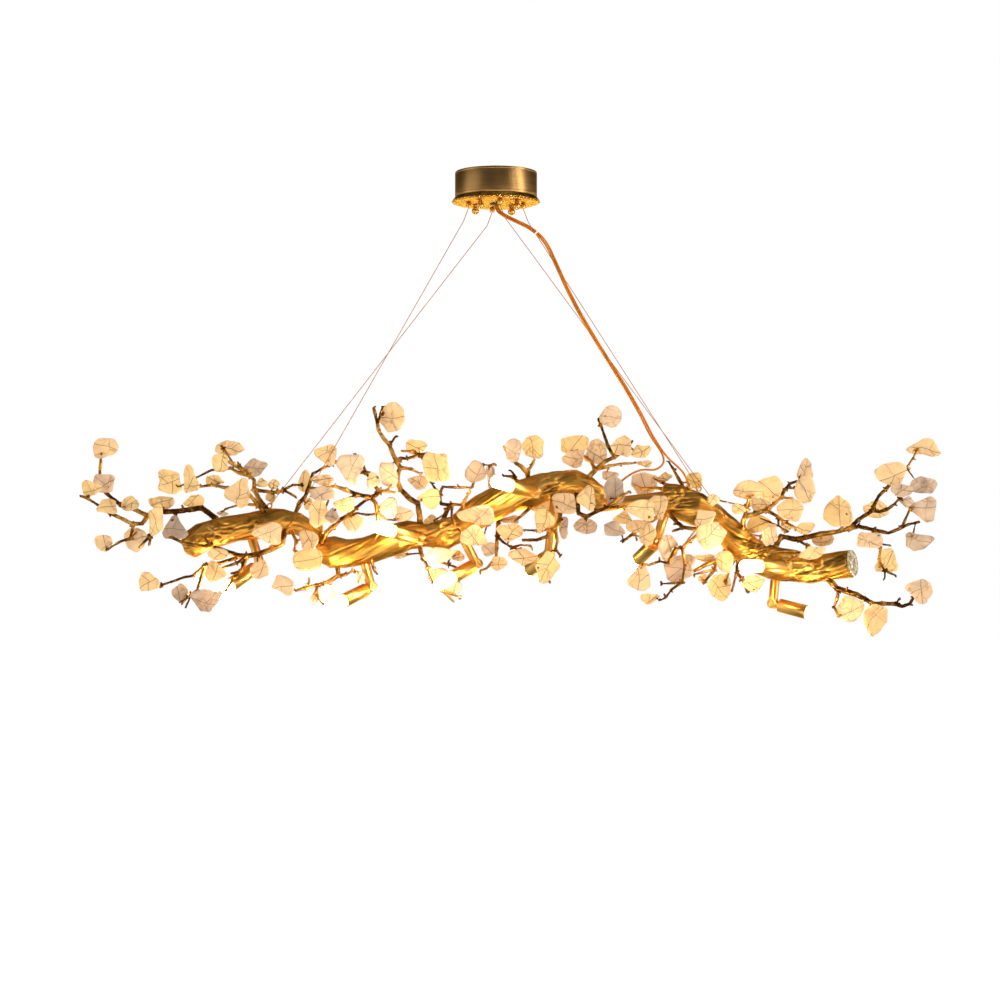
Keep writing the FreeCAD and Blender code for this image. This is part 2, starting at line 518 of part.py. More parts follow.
def mounting_plate():
    plate = Part.makeCylinder(MOUNTING_PLATE_RADIUS, MOUNTING_PLATE_THICKNESS,
                              Vector(0, 0, -MOUNTING_PLATE_THICKNESS))
    bottom = -MOUNTING_PLATE_THICKNESS
    holes = [Part.makeCylinder(SUPPLY_HOLE_RADIUS, MOUNTING_PLATE_THICKNESS, Vector(0, 0, bottom))]
    for side in (-1, 1):
        place = Vector(side * CEILING_SCREW_SPACING / 2, 0, bottom)
        holes.append(Part.makeCylinder(CEILING_SCREW_HOLE_RADIUS, MOUNTING_PLATE_THICKNESS, place))
    for radius, angle in STUDS:
        place = on_circle(radius, angle, bottom)
        holes.append(Part.makeCylinder(STUD_RADIUS + RUNNING_GAP, MOUNTING_PLATE_THICKNESS, place))
    return plate.cut(Part.makeCompound(holes))


def canopy_shell():
    bottom = Vector(0, 0, -CANOPY_HEIGHT)
    outer = Part.makeCylinder(CANOPY_RADIUS, CANOPY_HEIGHT, bottom)
    top_edge = [edge for edge in outer.Edges if abs(edge.CenterOfMass.z) < RUNNING_GAP]
    outer = outer.makeFillet(CANOPY_EDGE_ROUND, [edge for edge in top_edge if len(edge.Vertexes) == 1])
    inner = Part.makeCylinder(CANOPY_RADIUS - CANOPY_WALL, CANOPY_HEIGHT, bottom)
    inner_top = CANOPY_EDGE_ROUND
    lid = Part.makeCylinder(CANOPY_RADIUS, inner_top, Vector(0, 0, -inner_top))
    opening = Part.makeCylinder(MOUNTING_PLATE_RADIUS + RUNNING_GAP, inner_top, Vector(0, 0, -inner_top))
    return outer.cut(inner).fuse(outer.common(lid).cut(opening)).removeSplitter()


def hammered_plate():
    top = -CANOPY_HEIGHT
    rim = top - DISH_RIM_DROP
    foot = DISH_RIM_RADIUS - DISH_FOOT_INSET
    slanted = DISH_SHEET * DISH_SHEET_SLANT
    dish = revolved([
        (0, CANOPY_BOTTOM), (foot, CANOPY_BOTTOM), (DISH_RIM_RADIUS, rim), (CANOPY_RADIUS, top),
        (CANOPY_RADIUS - CANOPY_WALL, top), (DISH_RIM_RADIUS - slanted, rim),
        (foot - slanted / 2, CANOPY_BOTTOM + DISH_SHEET), (0, CANOPY_BOTTOM + DISH_SHEET),
    ])
    holes = [Part.makeCylinder(BUSH_RADIUS + RUNNING_GAP, DISH_DEPTH, Vector(0, 0, CANOPY_BOTTOM))]
    for radius, angle in STUDS:
        place = on_circle(radius, angle, CANOPY_BOTTOM)
        holes.append(Part.makeCylinder(STUD_RADIUS + RUNNING_GAP, DISH_DEPTH, place))
    for radius, angle in GRIPS:
        place = on_circle(radius, angle, CANOPY_BOTTOM)
        holes.append(Part.makeCylinder(GRIP_NECK_RADIUS + RUNNING_GAP, DISH_DEPTH, place))
    return dish.cut(Part.makeCompound(holes))


def plate_studs():
    bottom = NUT_TOP - STUD_IN_NUT
    return [Part.makeCylinder(STUD_RADIUS, -bottom, on_circle(radius, angle, bottom))
            for radius, angle in STUDS]


def ball_nuts():
    nuts = []
    for radius, angle in STUDS:
        centre = on_circle(radius, angle, NUT_CENTRE)
        collar_bottom = Vector(centre.x, centre.y, NUT_CENTRE)
        collar = Part.makeCylinder(BALL_NUT_COLLAR_RADIUS, NUT_TOP - NUT_CENTRE, collar_bottom)
        ball = Part.makeSphere(BALL_NUT_RADIUS, centre)
        below = Part.makeBox(4 * BALL_NUT_RADIUS, 4 * BALL_NUT_RADIUS, 4 * BALL_NUT_RADIUS,
                             Vector(centre.x - 2 * BALL_NUT_RADIUS, centre.y - 2 * BALL_NUT_RADIUS,
                                    NUT_TOP - 4 * BALL_NUT_RADIUS))
        nut = ball.common(below).fuse(collar).removeSplitter()
        depth = STUD_IN_NUT + RUNNING_GAP
        bore = Part.makeCylinder(STUD_RADIUS + RUNNING_GAP / 2, depth, Vector(centre.x, centre.y,
                                                                             NUT_TOP - depth))
        nuts.append(nut.cut(bore))
    return nuts


def wire_grips():
    grips = []
    for radius, angle in GRIPS:
        foot = on_circle(radius, angle, GRIP_BOTTOM)
        neck_foot = Vector(foot.x, foot.y, CANOPY_BOTTOM)
        body = Part.makeCylinder(GRIP_RADIUS, GRIP_DROP, foot)
        neck = Part.makeCylinder(GRIP_NECK_RADIUS, DISH_SHEET + GRIP_RISE, neck_foot)
        bore = Part.makeCylinder(WIRE_BORE_RADIUS, GRIP_DROP + DISH_SHEET + GRIP_RISE, foot)
        grips.append(body.fuse(neck).removeSplitter().cut(bore))
    return grips


def in_canopy(size, offset):
    """A block hung under the mounting plate, square to the wire grips."""
    turn = math.radians(GRIP_FIRST_ANGLE)
    across = Vector(math.cos(turn), math.sin(turn), 0)
    along = Vector(-math.sin(turn), math.cos(turn), 0)
    block = Part.makeBox(size.x, size.y, size.z, Vector(-size.x / 2, -size.y / 2, -size.z))
    place = across * offset + Vector(0, 0, -MOUNTING_PLATE_THICKNESS)
    return framed(block, place, across, along, UP)


def cable_bush():
    below = CANOPY_BOTTOM - BUSH_FLANGE_THICKNESS
    body = Part.makeCylinder(BUSH_RADIUS, BUSH_FLANGE_THICKNESS + BUSH_RISE, Vector(0, 0, below))
    flange = Part.makeCylinder(BUSH_FLANGE_RADIUS, BUSH_FLANGE_THICKNESS, Vector(0, 0, below))
    bore = Part.makeCylinder(BUSH_BORE_RADIUS, BUSH_FLANGE_THICKNESS + BUSH_RISE, Vector(0, 0, below))
    return body.fuse(flange).removeSplitter().cut(bore)


# --- Faceted bars along a line of points ----------------------------------------------------------


def solid_of(faces):
    shell = Part.makeShell(faces)
    shell.sewShape()
    solid = Part.makeSolid(shell)
    if solid.Volume < 0:
        solid.reverse()
    return solid


def face_of(corners):
    return Part.Face(Part.makePolygon(corners + corners[:1]))


def ring_solid(rings):
    """A closed solid through rings of corners, with flat facets."""
    faces = [face_of(rings[0]), face_of(rings[-1])]
    count = len(rings[0])
    for low, high in zip(rings, rings[1:]):
        for i in range(count):
            j = (i + 1) % count
            faces.append(face_of([low[i], low[j], high[j]]))
            faces.append(face_of([low[i], high[j], high[i]]))
    return solid_of(faces)


def bend_ways(points):
    """The way the line runs at each of its points, halfway through each bend."""
    ways = [(end - start).normalize() for start, end in zip(points, points[1:])]
    middle = [(before + after).normalize() for before, after in zip(ways, ways[1:])]
    return [ways[0]] + middle + [ways[-1]]


def square_to(way, like):
    side = like - way * like.dot(way)
    return side.normalize()


def bar_rings(points, radii, sides):
    ways = bend_ways(points)
    side = square_to(ways[0], RING_START)
    rings = []
    for point, radius, way in zip(points, radii, ways):
        side = square_to(way, side)
        other = way.cross(side)
        ring = []
        for i in range(sides):
            turn = 2 * math.pi * i / sides
            ring.append(point + side * (radius * math.cos(turn)) + other * (radius * math.sin(turn)))
        rings.append(ring)
    return rings


def bar(points, radii, sides):
    return ring_solid(bar_rings(points, radii, sides))


# --- Trunk ----------------------------------------------------------------------------------------


def circle_wire(centre, way, radius):
    return Part.Wire(Part.Circle(centre, way, radius).toShape())


def trunk_points(name):
    points = [seen(x, z, depth) for x, z, depth, radius in TRUNK[name]]
    radii = [radius for x, z, depth, radius in TRUNK[name]]
    return points, radii


def trunk_ways(name):
    """The way of each section. The middle castings meet on one plane; the sawn end is turned forward."""
    ways = bend_ways(trunk_points(name)[0])
    before = trunk_points("trunk_middle_left")[0]
    after = trunk_points("trunk_middle_right")[0]
    meeting_way = bend_ways([before[-2], before[-1], after[1]])[1]
    if name == "trunk_middle_left":
        ways[-1] = meeting_way
    if name == "trunk_middle_right":
        ways[0] = meeting_way
    if name == "trunk_right":
        ways[-1] = (ways[-1] - Vector(0, SAWN_END_TURN, 0)).normalize()
    return ways


def trunk_loft(points, ways, radii):
    wires = [circle_wire(point, way, radius) for point, way, radius in zip(points, ways, radii)]
    return Part.makeLoft(wires, True, True)


def trunk_casting(name):
    """One hollow length of the trunk, closed by a wall at each end."""
    points, radii = trunk_points(name)
    ways = trunk_ways(name)
    core = list(points)
    core[0] = points[0] + (points[1] - points[0]).normalize() * TRUNK_END_WALL
    core[-1] = points[-1] + (points[-2] - points[-1]).normalize() * TRUNK_END_WALL
    hollow = trunk_loft(core, ways, [radius - TRUNK_WALL for radius in radii])
    return trunk_loft(points, ways, radii).cut(hollow)


TRUNK_AXIS = []
for part_name in TRUNK:
    axis_points, axis_radii = trunk_points(part_name)
    for first, second, first_radius, second_radius in zip(axis_points, axis_points[1:], axis_radii,
                                                          axis_radii[1:]):
        steps = max(2, int((second - first).Length / COVER_STEP))
        for step in range(steps + 1):
            share = step / steps
            TRUNK_AXIS.append((first + (second - first) * share,
                               first_radius + (second_radius - first_radius) * share))


def nearest_axis(point):
    return min(TRUNK_AXIS, key=lambda station: (station[0] - point).Length - station[1])


def on_skin(point, sink):
    """The place on the trunk nearest to a point, sunk into its skin."""
    centre, radius = nearest_axis(point)
    way = (point - centre).normalize()
    return centre + way * (radius - sink), way


def spigot_line(name_before, name_after, reach):
    before = trunk_points(name_before)[0]
    after = trunk_points(name_after)[0]
    way = (after[0] - before[-1])
    if way.Length < COVER_STEP:
        way = bend_ways([before[-2], before[-1], after[1]])[1]
    way = way.normalize()
    return before[-1] - way * reach, after[0] + way * reach


MIDDLE_SPIGOT = spigot_line("trunk_middle_left", "trunk_middle_right", MIDDLE_SPIGOT_REACH)
BARREL = spigot_line("trunk_middle_right", "trunk_right", BARREL_REACH)


def tube(start, end, radius, wall):
    return rod(start, end, radius).cut(rod(start, end, radius - wall))


def end_cap(name):
    """The sawn face that closes the last section of a casting."""
    points, radii = trunk_points(name)
    way = trunk_ways(name)[-1]
    return rod(points[-1], points[-1] + way * CAP_THICKNESS, radii[-1] - CAP_INSET)


# --- Eyes, ferrules and wires ---------------------------------------------------------------------


def wire_places():
    """For each wire: where it leaves its grip, its bend, its lower end, the ferrule's foot and the eye."""
    places = []
    for (radius, angle), (x, z, depth) in zip(GRIPS, EYE_PLACES):
        top = on_circle(radius, angle, GRIP_BOTTOM)
        seat, outward = on_skin(seen(x, z, depth), EYE_SEAT)
        skin = seat + outward * EYE_SEAT
        eye = skin + outward * EYE_STAND
        pull = (top - eye).normalize()
        foot = eye + pull * (EYE_RING_RADIUS + EYE_ROD_RADIUS * 0.5)
        end = foot + pull * (FERRULE_LENGTH + WIRE_END_GAP)
        flat = Vector(end.x - top.x, end.y - top.y, 0).normalize()
        bend = top + flat * (WIRE_LEAD * WIRE_LEAD_LEAN) - UP * WIRE_LEAD
        places.append((top, bend, end, foot, eye, seat, pull, outward))
    return places


WIRE_PLACES = wire_places()


def flat_ring(centre, radius, sides):
    return [centre + on_circle(radius, 360 * i / sides, 0) for i in range(sides)]


def suspension_wire(number):
    top, bend, end = WIRE_PLACES[number][:3]
    above = Vector(top.x, top.y, CANOPY_BOTTOM + DISH_SHEET + GRIP_RISE)
    return ring_solid([flat_ring(point, WIRE_RADIUS, WIRE_SIDES) for point in (above, top, bend, end)])


def wire_anchor(number):
    top, bend, end, foot, eye, seat, pull, outward = WIRE_PLACES[number]
    shank = rod(seat, eye - outward * (EYE_RING_RADIUS - EYE_ROD_RADIUS / 2), EYE_SHANK_RADIUS)
    normal = outward.cross(pull)
    if normal.Length < EYE_LEAST_TURN:
        normal = outward.cross(Vector(0, 1, 0))
    ring = Part.makeTorus(EYE_RING_RADIUS, EYE_ROD_RADIUS, eye, normal.normalize())
    return shank.fuse(ring)


def wire_ferrule(number):
    foot, pull = WIRE_PLACES[number][3], WIRE_PLACES[number][6]
    return rod(foot, foot + pull * FERRULE_LENGTH, FERRULE_RADIUS)


# --- Cables ---------------------------------------------------------------------------------------


def cord_path(points):
    """Straight runs joined by arcs as large as the runs allow; also the arcs' radii."""
    corners = [Vector(*point) for point in points]
    edges = []
    radii = []
    start = corners[0]
    for before, corner, after in zip(corners, corners[1:], corners[2:]):
        way_in = (corner - before).normalize()
        way_out = (after - corner).normalize()
        half_turn = way_in.getAngle(way_out) / 2
        shorter = min((corner - before).Length, (after - corner).Length)
        trim = CABLE_ARC_SHARE * shorter
        radius = trim / math.tan(half_turn)
        radii.append(radius)
        arc_start = corner - way_in * trim
        arc_end = corner + way_out * trim
        inward = (way_out - way_in).normalize()
        centre = corner + inward * (radius / math.cos(half_turn))
        arc_middle = centre - inward * radius
        edges.append(Part.LineSegment(start, arc_start).toShape())
        edges.append(Part.Arc(arc_start, arc_middle, arc_end).toShape())
        start = arc_end
    edges.append(Part.LineSegment(start, corners[-1]).toShape())
    return Part.Wire(edges), radii


def supply_cable(name, points):
    path, radii = cord_path(points)
    first = Vector(*points[0])
    way = (Vector(*points[1]) - first).normalize()
    section = circle_wire(first, way, CABLE_RADIUS)
    cord = path.makePipeShell([section], True, False)
    expected = math.pi * CABLE_RADIUS ** 2 * path.Length
    print(name, "length", round(path.Length, 1), "volume share", round(cord.Volume / expected, 4),
          "radii", [round(radius) for radius in radii])
    return cord


def cable_tie():
    """The clear band that holds the two cables together, on the run with the number TIE_RUN."""
    middles = []
    for points in (CABLE_1, CABLE_2):
        start, end = Vector(*points[TIE_RUN]), Vector(*points[TIE_RUN + 1])
        middles.append(start + (end - start) * TIE_PLACE)
    centre = (middles[0] + middles[1]) / 2
    half = (end - start).normalize() * (TIE_WIDTH / 2)
    inner = (middles[0] - middles[1]).Length / 2 + CABLE_RADIUS + TIE_GAP
    return tube(centre - half, centre + half, inner + TIE_BAND, TIE_BAND)


def gland_line(points):
    """The mouth of a gland in line with the end of its cable, its shoulder and its foot."""
    end = Vector(*points[-1])
    way = (end - Vector(*points[-2])).normalize()
    mouth = end + way * CABLE_END_GAP
    return mouth, mouth + way * GLAND_HEIGHT, mouth + way * (GLAND_HEIGHT + GLAND_FOOT)


def gland_bars(points, gap):
    mouth, shoulder, foot = gland_line(points)
    return [rod(mouth, shoulder, GLAND_RADIUS + gap), rod(mouth, foot, GLAND_FOOT_RADIUS + gap)]


def cable_gland(points):
    """A turned gland let into the trunk."""
    body, foot = gland_bars(points, 0)
    mouth, shoulder, foot_end = gland_line(points)
    return body.fuse(foot).removeSplitter().cut(rod(mouth, foot_end, GLAND_BORE_RADIUS))


# --- Lamps ----------------------------------------------------------------------------------------


def lamp_frame(number):
    """The pivot, the way up the rod, the head's way and the tilt axis of a lamp."""
    root_place, pivot_place, head_way = LAMPS[number]
    root = seen(root_place[0], root_place[1], root_place[2])
    pivot = seen(pivot_place[0], pivot_place[1], pivot_place[2])
    head_way = Vector(*head_way).normalize()
    rod_way = (root - pivot).normalize()
    axis = rod_way.cross(head_way).normalize()
    return root, pivot, rod_way, head_way, axis


def tilt_range(number):
    root, pivot, rod_way, head_way, axis = lamp_frame(number)
    angle = math.degrees(rod_way.getAngle(head_way))
    back = min(TILT_BACK, angle - TILT_LEAST_ANGLE)
    out = min(TILT_OUT, TILT_MOST_ANGLE - angle)
    return -math.floor(back), math.floor(out)


def rod_socket(number, gap):
    """The bar from inside the trunk's skin to the pivot, with its knuckle end."""
    root, pivot, rod_way, head_way, axis = lamp_frame(number)
    centre, radius = nearest_axis(root)
    reach = (root - pivot).Length - max(0, radius - TRUNK_WALL - ROD_SEAT)
    return pivot, pivot + rod_way * reach, ROD_RADIUS + gap


def lamp_rod(number):
    root, pivot, rod_way, head_way, axis = lamp_frame(number)
    bottom, top, radius = rod_socket(number, 0)
    body = rod(bottom, top, radius)
    knuckle = rod(pivot - axis * ROD_RADIUS, pivot + axis * ROD_RADIUS, ROD_RADIUS)
    body = body.fuse(knuckle)
    across = axis.cross(rod_way)
    slot = Part.makeBox(6 * ROD_RADIUS, FORK_SLOT, 4 * ROD_RADIUS,
                        Vector(-3 * ROD_RADIUS, -FORK_SLOT / 2, -4 * ROD_RADIUS))
    body = body.cut(framed(slot, pivot + rod_way * FORK_DEPTH, across, axis, rod_way))
    reach = ROD_RADIUS + PIVOT_GAP
    bore = rod(pivot - axis * reach, pivot + axis * reach, PIVOT_SCREW_RADIUS + PIVOT_GAP)
    return body.cut(bore)


def pivot_screw(number):
    root, pivot, rod_way, head_way, axis = lamp_frame(number)
    shank = rod(pivot - axis * ROD_RADIUS, pivot + axis * ROD_RADIUS, PIVOT_SCREW_RADIUS)
    head = rod(pivot + axis * ROD_RADIUS, pivot + axis * (ROD_RADIUS + PIVOT_HEAD_HEIGHT), PIVOT_HEAD_RADIUS)
    return shank.fuse(head).removeSplitter()


def lamp_head(number):
    root, pivot, rod_way, head_way, axis = lamp_frame(number)
    rear = pivot + head_way * HEAD_OFFSET
    mouth = rear + head_way * HEAD_LENGTH
    shell = rod(rear, mouth, HEAD_RADIUS)
    shell = shell.cut(rod(rear + head_way * HEAD_BACK, mouth, HEAD_RADIUS - HEAD_WALL))
    thickness = FORK_SLOT - 2 * TONGUE_GAP
    eye = rod(pivot - axis * (thickness / 2), pivot + axis * (thickness / 2), TONGUE_RADIUS)
    neck = Part.makeBox(TONGUE_WIDTH, thickness, HEAD_OFFSET + NECK_SINK,
                        Vector(-TONGUE_WIDTH / 2, -thickness / 2, 0))
    neck = framed(neck, pivot, axis.cross(head_way), axis, head_way)
    bore = rod(pivot - axis * thickness, pivot + axis * thickness, PIVOT_SCREW_RADIUS + PIVOT_GAP)
    return shell.fuse(eye.fuse(neck)).removeSplitter().cut(bore)


def lamp_bulb(number):
    """The glowing capsule and the base that carries it inside the head."""
    root, pivot, rod_way, head_way, axis = lamp_frame(number)
    floor = pivot + head_way * (HEAD_OFFSET + HEAD_BACK)
    mouth = pivot + head_way * (HEAD_OFFSET + HEAD_LENGTH)
    base_end = floor + head_way * LAMP_BASE_LENGTH
    base = rod(floor, base_end, LAMP_BASE_RADIUS)
    radius = HEAD_RADIUS - HEAD_WALL - DIFFUSER_GAP
    inner_end = mouth - head_way * DIFFUSER_SEAT
    foot = rod(base_end, inner_end, LAMP_BASE_RADIUS)
    tip = mouth + head_way * (DIFFUSER_REACH - radius)
    capsule = rod(inner_end, tip, radius).fuse(Part.makeSphere(radius, tip)).removeSplitter()
    return [base, foot.fuse(capsule).removeSplitter()]


# --- Places that twigs and leaves keep clear of ---------------------------------------------------

CELL = 40.0
OBSTACLES = {}


def cell_of(point):
    return (math.floor(point.x / CELL), math.floor(point.y / CELL), math.floor(point.z / CELL))


def keep_clear(point, radius, owner):
    OBSTACLES.setdefault(cell_of(point), []).append((point, radius, owner))


def near(centre, reach):
    low = cell_of(centre - Vector(reach, reach, reach))
    high = cell_of(centre + Vector(reach, reach, reach))
    for i in range(low[0], high[0] + 1):
        for j in range(low[1], high[1] + 1):
            for k in range(low[2], high[2] + 1):
                for obstacle in OBSTACLES.get((i, j, k), ()):
                    if (obstacle[0] - centre).Length < reach + obstacle[1]:
                        yield obstacle


def points_along(start, end, step):
    count = max(1, math.ceil((end - start).Length / step))
    return [start + (end - start) * (i / count) for i in range(count + 1)]


def keep_clear_of_lamps():
    for number in range(len(LAMPS)):
        root, pivot, rod_way, head_way, axis = lamp_frame(number)
        for point in points_along(root, pivot, COVER_STEP):
            keep_clear(point, ROD_RADIUS + COVER_MARGIN, "lamp")
        least, most = tilt_range(number)
        turns = max(2, math.ceil((most - least) / TILT_STEP))
        for i in range(turns + 1):
            turn = least + (most - least) * i / turns
            way = FreeCAD.Rotation(axis, turn).multVec(head_way)
            tip = pivot + way * (HEAD_OFFSET + HEAD_LENGTH + DIFFUSER_REACH)
            for point in points_along(pivot, tip, HEAD_STEP):
                keep_clear(point, HEAD_RADIUS + COVER_MARGIN, "lamp")


def keep_clear_of_line(points, radius, owner):
    """A wire or cable, also where it hangs when the branch has been raised."""
    top = points[0].z
    drop = top - min(point.z for point in points)
    for start, end in zip(points, points[1:]):
        for point in points_along(start, end, COVER_STEP):
            for step in range(HEIGHT_STEPS + 1):
                lift = HEIGHT_TRAVEL * step / HEIGHT_STEPS
                share = (top - point.z) / drop
                keep_clear(point - UP * (lift * (1 - share)), radius + COVER_MARGIN, owner)


for axis_point, axis_radius in TRUNK_AXIS:
    keep_clear(axis_point, axis_radius, "trunk")
for barrel_point in points_along(BARREL[0], BARREL[1], COVER_STEP):
    keep_clear(barrel_point, BARREL_RADIUS + COVER_MARGIN, "trunk")
keep_clear_of_lamps()
for wire_place in WIRE_PLACES:
    keep_clear_of_line([wire_place[0], wire_place[1], wire_place[2]], WIRE_RADIUS, "wire")
    keep_clear(wire_place[4], EYE_RING_RADIUS + EYE_ROD_RADIUS + COVER_MARGIN, "eye")
    for ferrule_point in points_along(wire_place[3], wire_place[2], COVER_STEP):
        keep_clear(ferrule_point, FERRULE_RADIUS + COVER_MARGIN, "eye")
for cable in (CABLE_1, CABLE_2):
    keep_clear_of_line([Vector(*point) for point in cable], CABLE_RADIUS, "cable")
    gland_way = (Vector(*cable[-1]) - Vector(*cable[-2])).normalize()
    gland_end = Vector(*cable[-1]) + gland_way * GLAND_HEIGHT
    for gland_point in points_along(Vector(*cable[-1]), gland_end, COVER_STEP):
        keep_clear(gland_point, GLAND_RADIUS + COVER_MARGIN, "gland")


# --- Twigs ----------------------------------------------------------------------------------------

STEM_SAMPLES = {}
STEM_BARS = {}


def grow_stem(group, stem):
    """Lay one stem out in space: its points, its radii and the samples that later stems join."""
    depth, lean, radius, outline = stem
    samples = STEM_SAMPLES.setdefault(group, [])
    joins = depth is JOIN
    if joins:
        x, z = outline[0]
        elevation = [(math.hypot(x - view[0], z - view[1]), point) for point, thickness, view in samples]
        distance, foot = min(elevation, key=lambda item: item[0])
        if distance > TWIG_JOIN_REACH:
            print("a stem of", group, "at", outline[0], "joins from", round(distance), "mm away")
        depth = foot.y
    lengths = [0.0]
    for before, after in zip(outline, outline[1:]):
        lengths.append(lengths[-1] + math.dist(before, after))
    shares = [length / lengths[-1] for length in lengths]
    points = [seen(x, z, depth + lean * share) for (x, z), share in zip(outline, shares)]
    radii = [max(TWIG_LEAST_RADIUS, radius * (1 - TWIG_TAPER * share)) for share in shares]
    if joins:
        points[0] = foot
    else:
        points[0] = on_skin(points[0], TWIG_ROOT_SINK)[0]
    views = [outline[i] for i in range(len(outline))]
    for i in range(len(points) - 1):
        count = max(1, math.ceil((points[i + 1] - points[i]).Length / TWIG_STEP))
        for step in range(count + 1):
            share = step / count
            place = points[i] + (points[i + 1] - points[i]) * share
            view = (views[i][0] + (views[i + 1][0] - views[i][0]) * share,
                    views[i][1] + (views[i + 1][1] - views[i][1]) * share)
            thickness = radii[i] + (radii[i + 1] - radii[i]) * share
            samples.append((place, thickness, view))
    STEM_BARS.setdefault(group, []).append((points, radii))
    check_stem(group, points, radii)


def check_stem(group, points, radii):
    """Say where a stem comes too near to something that it doesn't grow on."""
    for start, end, radius in zip(points, points[1:], radii):
        for point in points_along(start, end, TWIG_STEP):
            if (point - points[0]).Length < TWIG_FREE_FROM:
                continue
            for place, reach, owner in near(point, radius + COVER_MARGIN):
                gap = (place - point).Length - reach - radius
                if gap < TWIG_LEAST_GAP:
                    print("stem of", group, "near", owner, "at", [round(value) for value in point],
                          "gap", round(gap, 1))
                    return


for group_name, stems in TWIGS.items():
    for stem_row in stems:
        grow_stem(group_name, stem_row)
for group_name, stem_samples in STEM_SAMPLES.items():
    for sample_point, sample_radius, sample_view in stem_samples:
        keep_clear(sample_point, sample_radius, group_name)


# --- Leaves ---------------------------------------------------------------------------------------


def leaf_outline(number, width, height, toward):
    """The leaf's corners about its middle on the elevation, with the stalk end turned toward the stem."""
    pattern = OUTLINES[number % len(OUTLINES)]
    turn = math.atan2(toward[1], toward[0]) + math.pi / 2
    mirror = 1 if number % 2 else -1
    corners = []
    for u, v in pattern:
        u = u * mirror
        corners.append((u * math.cos(turn) - v * math.sin(turn), u * math.sin(turn) + v * math.cos(turn)))
    if mirror < 0:
        corners.reverse()
    low_u, high_u = min(u for u, v in corners), max(u for u, v in corners)
    low_v, high_v = min(v for u, v in corners), max(v for u, v in corners)
    return [((u - (low_u + high_u) / 2) * width / (high_u - low_u),
             (v - (low_v + high_v) / 2) * height / (high_v - low_v)) for u, v in corners]


class Leaf:
    """A flat crystal petal, tilted so that it still fills its outline on the elevation."""

    def __init__(self, number, x, z, width, height, toward):
        self.x, self.z = x, z
        self.corners = leaf_outline(number, width, height, toward)
        self.slope_u = LEAF_SWING * math.sin(LEAF_SWING_TURN * number)
        self.slope_v = LEAF_LEAN * math.cos(LEAF_LEAN_TURN * number)
        self.reach = math.hypot(width, height) / 2 * LEAF_TILTED_REACH
        self.cover = [(0.0, 0.0)]
        for share in COVER_SHARES:
            for (u0, v0), (u1, v1) in zip(self.corners, self.corners[1:] + self.corners[:1]):
                count = max(1, math.ceil(math.dist((u0, v0), (u1, v1)) * share / COVER_STEP))
                for step in range(count):
                    part = step / count
                    self.cover.append(((u0 + (u1 - u0) * part) * share, (v0 + (v1 - v0) * part) * share))
        self.cover_radius = math.hypot(COVER_STEP * COVER_REACH_SHARE, LEAF_THICKNESS / 2)

    def lay(self, depth):
        """Put the leaf at a depth: its middle, its two ways in its plane and its cover points."""
        self.middle = seen(self.x, self.z, depth)
        self.u_way = Vector(1, self.slope_u, 0)
        self.v_way = Vector(0, self.slope_v, 1)
        self.normal = self.v_way.cross(self.u_way).normalize()
        self.cover_points = [self.at(u, v) for u, v in self.cover]

    def at(self, u, v):
        return self.middle + self.u_way * u + self.v_way * v

    def solid(self):
        half = self.normal * (LEAF_THICKNESS / 2)
        front = [self.at(u * LEAF_BEVEL, v * LEAF_BEVEL) + half for u, v in self.corners]
        rim = [self.at(u, v) for u, v in self.corners]
        back = [self.at(u * LEAF_BEVEL, v * LEAF_BEVEL) - half for u, v in self.corners]
        faces = [face_of(front), face_of(back)]
        for low, high in ((front, rim), (rim, back)):
            for i in range(len(rim)):
                j = (i + 1) % len(rim)
                faces.append(face_of([low[i], low[j], high[j], high[i]]))
        return solid_of(faces)


def clear_of_all(points, radius, centre, reach, skip):
    found = [item for item in near(centre, reach + radius) if item[2] not in skip]
    for place, thickness, owner in found:
        least = thickness + radius
        for point in points:
            if (place - point).Length < least:
                return False
    return True


def stalk_line(leaf, group):
    """The shortest free stalk from a stem of the group to the leaf, or None."""
    samples = sorted(STEM_SAMPLES[group], key=lambda sample: (sample[0] - leaf.middle).Length)
    edge = min(leaf.corners, key=lambda corner: (leaf.at(corner[0], corner[1]) - samples[0][0]).Length)
    tip = leaf.at(edge[0] * LEAF_ATTACH, edge[1] * LEAF_ATTACH)
    for foot, thickness, view in samples[STALK_FEET]:
        way = tip - foot
        if way.Length < thickness + STALK_LEAST_LENGTH or way.Length > STALK_LONGEST:
            continue
        points = points_along(foot, tip, STALK_STEP)
        outside = [point for point in points if (point - foot).Length > thickness]
        if not outside:
            continue
        middle = foot + way * 0.5
        if clear_of_all(outside, STALK_RADIUS + STALK_CLEARANCE, middle, way.Length / 2, (group,)):
            return foot, tip, outside
    return None


LEAF_SOLIDS = {}
STALK_BARS = {}


